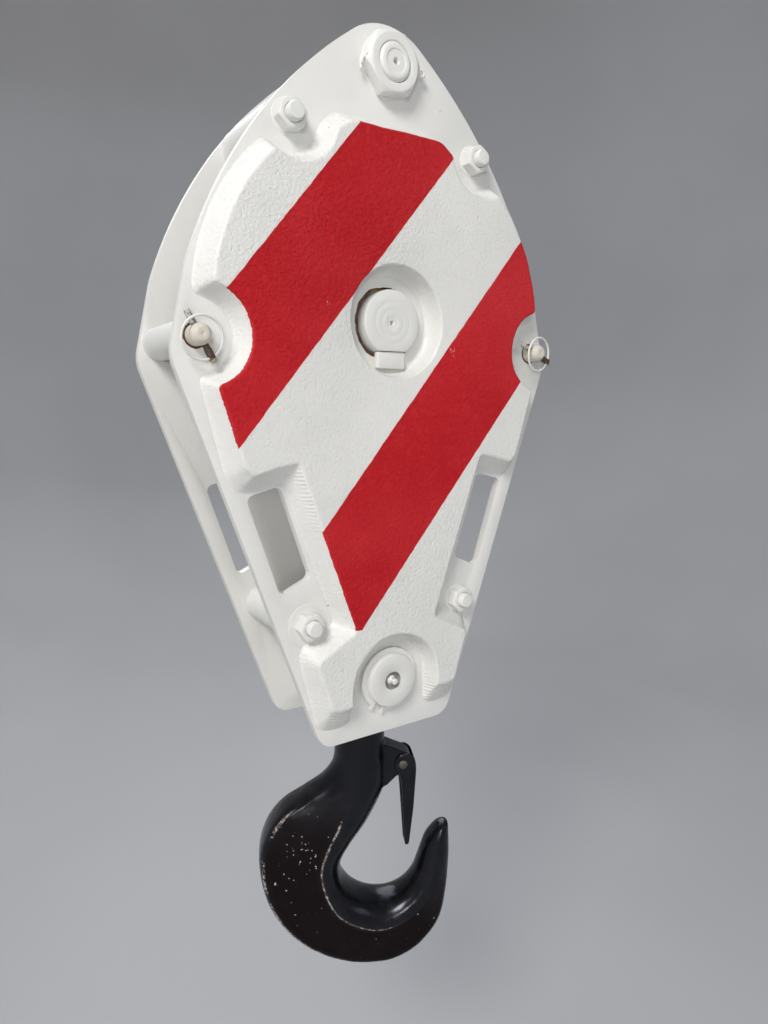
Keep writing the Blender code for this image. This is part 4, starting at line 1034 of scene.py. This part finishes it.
# ---------------------------------------------------------------- hook
def hook_sections():
    """(inner point, outer point, half thickness, round 0 to forged 1, where the crease lies, its depth)."""
    sections = [((0.025, height), (-0.025, height), 0.025, 0.0, -0.5, 0.0)
                for height in (-0.060, -0.074, -0.085)]
    sections += [((0.0255, -0.1120), (-0.0275, -0.1030), 0.0255, 0.0, -0.5, 0.0),
                 ((0.0245, -0.1300), (-0.0400, -0.1200), 0.0262, 0.15, -0.5, 0.0),
                 ((0.0170, -0.1470), (-0.0600, -0.1340), 0.0275, 0.45, -0.46, 0.5),
                 ((0.0060, -0.1670), (-0.0810, -0.1490), 0.0290, 0.82, -0.44, 0.95),
                 ((-0.0080, -0.1850), (-0.0960, -0.1700), 0.0300, 0.95, -0.48, 1.0),
                 ((-0.0195, -0.2050), (-0.1030, -0.1960), 0.0305, 1.0, -0.52, 1.0)]
    bowl = ((192.0, 0.0400, 0.1190, 0.0305, -0.55, 1.0), (209.0, 0.0400, 0.1160, 0.0305, -0.52, 1.0),
            (226.0, 0.0403, 0.1130, 0.0303, -0.46, 1.0), (243.0, 0.0407, 0.1105, 0.0298, -0.42, 1.0),
            (260.0, 0.0412, 0.1095, 0.0288, -0.38, 1.0), (277.0, 0.0415, 0.1085, 0.0275, -0.36, 0.9),
            (294.0, 0.0413, 0.1020, 0.0255, -0.34, 0.4), (312.0, 0.0407, 0.0925, 0.0230, -0.30, 0.0),
            (332.0, 0.0397, 0.0800, 0.0202, -0.15, 0.0), (353.0, 0.0405, 0.0738, 0.0178, 0.0, 0.0),
            (370.0, 0.0452, 0.0745, 0.0157, 0.0, 0.0), (379.0, 0.0510, 0.0775, 0.0142, 0.0, 0.0))
    for angle, inner, outer, half, crease, depth in bowl:
        share = 1.0 - 0.85 * min(max((angle - 306.0) / 44.0, 0.0), 1.0)
        sections.append((polar(inner, angle, BOWL), polar(outer, angle, BOWL), half, share, crease, depth))
    sections.append((polar(0.0585, 383.5, BOWL), polar(0.0798, 384.6, BOWL), 0.0118, 0.15, 0.0, 0.0))
    sections.append((polar(0.0650, 386.6, BOWL), polar(0.0772, 386.9, BOWL), 0.0072, 0.1, 0.0, 0.0))
    return [(*inner, *outer, *rest) for inner, outer, *rest in sections]


def between(rows, steps):
    """Smooth rows of numbers between the given ones."""
    out = []
    count = len(rows)
    for i in range(count - 1):
        a, b, c, d = rows[max(i - 1, 0)], rows[i], rows[i + 1], rows[min(i + 2, count - 1)]
        for step in range(steps):
            t = step / steps
            row = []
            for p, q, r, s in zip(a, b, c, d):
                row.append(0.5 * (2.0 * q + (r - p) * t + (2.0 * p - 5.0 * q + 4.0 * r - s) * t ** 2
                                  + (3.0 * q - p - 3.0 * r + s) * t ** 3))
            out.append(row)
    return out + [list(rows[-1])]


def hook_shape(crease, depth, size, half):
    """Half of a forged section as (along, across, crease mark, flat mark).

    A round saddle runs over to a crease, beyond which a drafted flat side leads to a blunt back.
    """
    wide = min((crease + 1.0) * size, half * 1.02) / size
    low = 1.0 - 0.030 * depth
    shape = []
    for i in range(15):
        turn = math.radians(90.0 * i / 14.0)
        shape.append((-1.0 + wide * (1.0 - math.cos(turn)), math.sin(turn), 0.0, 0.0))
    shape += [((crease + wide - 1.0) / 2.0, 1.0, 0.0, 0.0), (crease, 0.999, depth, 0.0),
              (crease + 0.0011 / size, low, depth, 0.4)]
    start = crease + 0.0030 / size
    for i in range(7):
        t = i / 6.0
        along = start + (0.80 - start) * t
        shape.append((along, low * 0.995 - (low - 0.80) * (along - crease) / (0.86 - crease), 0.0, 1.0))
    shape += [(0.86, 0.780, 0.6, 0.6), (0.905, 0.735, 0.9, 0.0), (0.945, 0.66, 0.2, 0.0),
              (0.972, 0.55, 0.0, 0.0), (0.988, 0.38, 0.0, 0.0), (0.997, 0.19, 0.0, 0.0), (1.0, 0.0, 0.0, 0.0)]
    return shape


def hook_body():
    place = Matrix.Translation((0.0, 0.0, TRUNNION_Z)) @ Matrix.Rotation(HOOK_TURN, 4, "Z")
    solid = Solid()
    rings, marks = [], []
    for ix, iz, ox, oz, half, share, crease, depth in between(hook_sections(), 7):
        middle, reach = Vector((ix + ox, iz + oz)) / 2.0, Vector((ox - ix, oz - iz)) / 2.0
        shape = hook_shape(crease, max(depth, 0.0), reach.length, half)
        last = len(shape) - 1
        points = []
        for step in range(2 * last):
            along, across, rub, flat = shape[min(step, 2 * last - step)]
            turn = math.radians(180.0 - 180.0 * step / last)
            across = across if step <= last else -across
            along = along * share + math.cos(turn) * (1.0 - share)
            across = across * share + math.sin(turn) * (1.0 - share)
            spot = middle + reach * along
            points.append((spot.x, half * across, spot.y))
            marks.append((Vector(points[-1]), rub * share, flat * share * share))
        rings.append(solid.ring3(points))
    solid.wall(*rings)
    solid.cap(rings[0])
    tip = Vector(polar(0.0712, 388.3, BOWL))
    solid.fan(rings[-1], (tip.x, 0.0, tip.y))
    made = solid.finish("look_hook", M_HOOK)
    outline = [(0.0100, -0.0840), (0.0280, -0.0858), (0.0370, -0.0900)]
    outline += arc(LATCH_PIVOT, 0.0105, 70.0, -80.0, 14)
    outline += [(0.0340, -0.1200), (0.0270, -0.1275), (0.0100, -0.1350)]
    lug = stack([(-0.0110, outline), (0.0110, outline)]).finish("lug", M_HOOK)
    made = joined(made, lug)
    merge = made.modifiers.new("merge", "REMESH")
    merge.mode = "VOXEL"
    merge.voxel_size = 0.0011
    soften = made.modifiers.new("soften", "SMOOTH")
    soften.factor = 0.5
    soften.iterations = 3
    apply_all(made)
    wear(made, marks)
    hammered(made)
    made.data.materials.clear()
    made.data.materials.append(M_HOOK)
    thread = [(0.0, 0.1130), (0.0200, 0.1130), (0.0220, 0.1112)]
    for i in range(16):
        thread += [(0.0220, 0.1105 - 0.003 * i), (0.0208, 0.1090 - 0.003 * i)]
    thread += [(0.0220, 0.0632), (0.0249, 0.0630), (0.0249, -0.0660), (0.0, -0.0660)]
    made = joined(made, lathe("shank", thread, 72, M_HOOK, axis="Z"))
    made.data.shade_smooth()
    piece(made, "hook_body", "hook", place)
    cage_and_nut(place)
    latch(place)


def hammered(made):
    """Faint waves of a drop forging, pushed in along the surface."""
    mesh = made.data
    moves = []
    for vertex in mesh.vertices:
        wave = noise.noise(vertex.co * 38.0) * 0.00050 + noise.noise(vertex.co * 110.0) * 0.00014
        fade = min(max((-0.080 - vertex.co.z) / 0.02, 0.0), 1.0)
        moves.append(vertex.normal * wave * fade)
    for vertex, move in zip(mesh.vertices, moves):
        vertex.co += move


def wear(made, marks):
    """Carries the creases and the flat sides of the loft over to the merged surface, for its paint."""
    tree = KDTree(len(marks))
    for i, (point, _, _) in enumerate(marks):
        tree.insert(point, i)
    tree.balance()
    edge, panel = [], []
    for vertex in made.data.vertices:
        total, rub, flat = 0.0, 0.0, 0.0
        for _, index, gap in tree.find_n(vertex.co, 4):
            weight = 1.0 / (gap + 0.0004)
            total += weight
            rub += marks[index][1] * weight
            flat += marks[index][2] * weight
        edge.append(rub / total)
        panel.append(flat / total * min(max((abs(vertex.normal.y) - 0.80) / 0.12, 0.0), 1.0))
    for name, values in (("edge", edge), ("panel", panel)):
        layer = made.data.attributes.new(name, "FLOAT", "POINT")
        layer.data.foreach_set("value", values)


def cage_and_nut(place):
    cage = [(0.0370, 0.0460), (0.0370, 0.0552), (0.0366, 0.0556), (0.0274, 0.0556), (0.0270, 0.0552),
            (0.0270, 0.0460), (0.0274, 0.0456), (0.0366, 0.0456)]
    turned("thrust_ball_cage", cage, 96, M_STEEL, "cage_body", axis="Z", place=place)
    race = [(0.0384, 0.0559), (0.0390, 0.0565), (0.0390, 0.0628), (0.0384, 0.0634), (0.0257, 0.0634),
            (0.0253, 0.0630), (0.0253, 0.0559)]
    turned("thrust_race_upper", race, 96, M_STEEL, "hook_body", axis="Z", place=place)
    profile = [(0.0352, 0.0637), (0.0360, 0.0645), (0.0360, 0.1007), (0.0350, 0.1022), (0.0330, 0.1037),
               (0.0240, 0.1037), (0.0224, 0.1022), (0.0224, 0.0637)]
    turned("hook_nut", profile, 96, M_DARK, "hook_body", axis="Z", place=place)
    profile = both_ends([(0.0, -0.0362), (0.0024, -0.0362), (0.0030, -0.0356)])
    turned("hook_nut_lock_pin", profile, 24, M_STEEL, "hook_body", (0.0, 0.0, 0.0917), "X",
           place)


def latch(place):
    """A pressed channel that hangs from its pin."""
    outside = ((0.0094, -0.0020, 0.0060, 0.0134), (0.0086, -0.0036, 0.0078, 0.0138),
               (0.0070, -0.0055, 0.0100, 0.0140), (0.0045, -0.0070, 0.0118, 0.0140),
               (0.0020, -0.0080, 0.0130, 0.0140), (-0.0020, -0.0082, 0.0137, 0.0140),
               (-0.0060, -0.0078, 0.0140, 0.0140), (-0.0090, -0.0064, 0.0140, 0.0140),
               (-0.0120, -0.0045, 0.0140, 0.0140), (-0.0180, -0.0015, 0.0137, 0.0135),
               (-0.0340, 0.0000, 0.0130, 0.0121), (-0.0500, 0.0010, 0.0122, 0.0107),
               (-0.0720, 0.0023, 0.0100, 0.0088), (-0.0900, 0.0033, 0.0082, 0.0072),
               (-0.0932, 0.0040, 0.0075, 0.0062), (-0.0940, 0.0048, 0.0068, 0.0052))
    hollow = ((0.0200, -0.02, 0.0116, 0.0118), (-0.0120, -0.02, 0.0118, 0.0118),
              (-0.0180, -0.02, 0.0115, 0.0113), (-0.0500, -0.02, 0.0100, 0.0085),
              (-0.0905, -0.02, 0.0058, 0.0050))
    made = []
    for rows, reach, label in ((outside, 0.22, "look_latch"), (hollow, 0.12, "hollow")):
        levels = []
        for z, a, b, w in rows:
            radius = min(b - a, 2.0 * w) * reach
            levels.append((z, rounded([(a, -w), (b, -w), (b, w), (a, w)], min(radius, 0.0026), 5)))
        made.append(stack(levels, "Z").finish(label, M_HOOK))
    channel = boolean(made[0], made[1])
    bevel(channel, 0.0004, 2, 40.0)
    for name in ("edge", "panel"):
        channel.data.attributes.new(name, "FLOAT", "POINT")
    pivot = place @ Matrix.Translation((LATCH_PIVOT[0], 0.0, LATCH_PIVOT[1]))
    piece(channel, "latch_body", "latch", pivot)
    profile = [(0.0, -0.0170), (0.0030, -0.0170), (0.0042, -0.0165), (0.0046, -0.0157), (0.0046, -0.0143),
               (0.0040, -0.0143), (0.0040, 0.0164), (0.0034, 0.0170), (0.0, 0.0170)]
    turned("latch_pin", profile, 36, M_DARK, "hook_body", place=pivot)


# ---------------------------------------------------------------- everything
for label, way in ENDS:
    side_plate("side_plate_" + label, way)
    cheek_weight("cheek_weight_" + label, way)
tie_bolts()
becket()
axle()
guard_pins()
sheave()
crosshead()
hook_body()


# ---------------------------------------------------------------- room, light and camera
def room():
    """A pale sweep that rises all round, so that every view has the same plain background."""
    paint = Paint("pale_sweep")
    tone = paint.patches(0.3, 0.7, 1.2, 2.0)
    paint.colour(paint.mix(tone, (0.38, 0.38, 0.39), (0.41, 0.41, 0.42)))
    paint.shader.inputs["Roughness"].default_value = 0.85
    floor, reach, bend = -1.000, 3.2, 1.3
    inside = [(0.6, floor), (reach - bend, floor)]
    inside += [(reach - bend + bend * math.sin(a), floor + bend - bend * math.cos(a))
               for a in (math.radians(6.0 * i) for i in range(1, 16))]
    inside += [(reach, 2.6)]
    outside = [(r + 0.05 if r > 0.6 else r, z - 0.05) for r, z in reversed(inside)]
    sweep = lathe("pale_sweep", [(0.0, floor)] + inside + outside + [(0.0, floor - 0.05)], 96, paint.material,
                  axis="Z", sharp=80.0)


def area(name, place, size, power, colour):
    """A round lamp that looks at the middle of the block."""
    light = bpy.data.lights.new(name, "AREA")
    light.shape = "DISK"
    light.size = size
    light.energy = power
    light.color = colour
    made = bpy.data.objects.new(name, light)
    bpy.context.collection.objects.link(made)
    made.location = place
    made.rotation_euler = (Vector((0.0, 0.0, -0.15)) - Vector(place)).to_track_quat("-Z", "Y").to_euler()


room()
area("key", (-2.3, -1.8, 2.0), 1.4, 104.0, (1.0, 0.985, 0.96))
area("fill", (1.3, -2.1, 0.9), 1.2, 5.0, (0.93, 0.96, 1.0))
area("front", (-1.30, -2.0, 0.05), 0.5, 10.5, (1.0, 0.99, 0.97))
area("sky", (-0.2, 1.0, 2.3), 2.2, 30.0, (0.80, 0.88, 1.0))
area("back", (0.6, 1.9, 1.1), 1.8, 22.0, (1.0, 1.0, 1.0))
world = bpy.data.worlds.new("studio")
world.use_nodes = True
world.node_tree.nodes["Background"].inputs["Color"].default_value = (0.80, 0.84, 0.90, 1.0)
world.node_tree.nodes["Background"].inputs["Strength"].default_value = 0.22
bpy.context.scene.world = world
bpy.context.scene.view_settings.view_transform = "Standard"

eye = Vector((-0.3481, -0.5695, -0.0700))
aim = Vector((0.0229, -0.010, -0.1712))
data = bpy.data.cameras.new("photo_view")
data.sensor_width = 36.0
data.lens = 24.743
data.clip_start = 0.01
data.clip_end = 50.0
camera = bpy.data.objects.new("photo_view", data)
bpy.context.collection.objects.link(camera)
camera.location = eye
camera.rotation_euler = (aim - eye).to_track_quat("-Z", "Y").to_euler()
bpy.context.scene.camera = camera
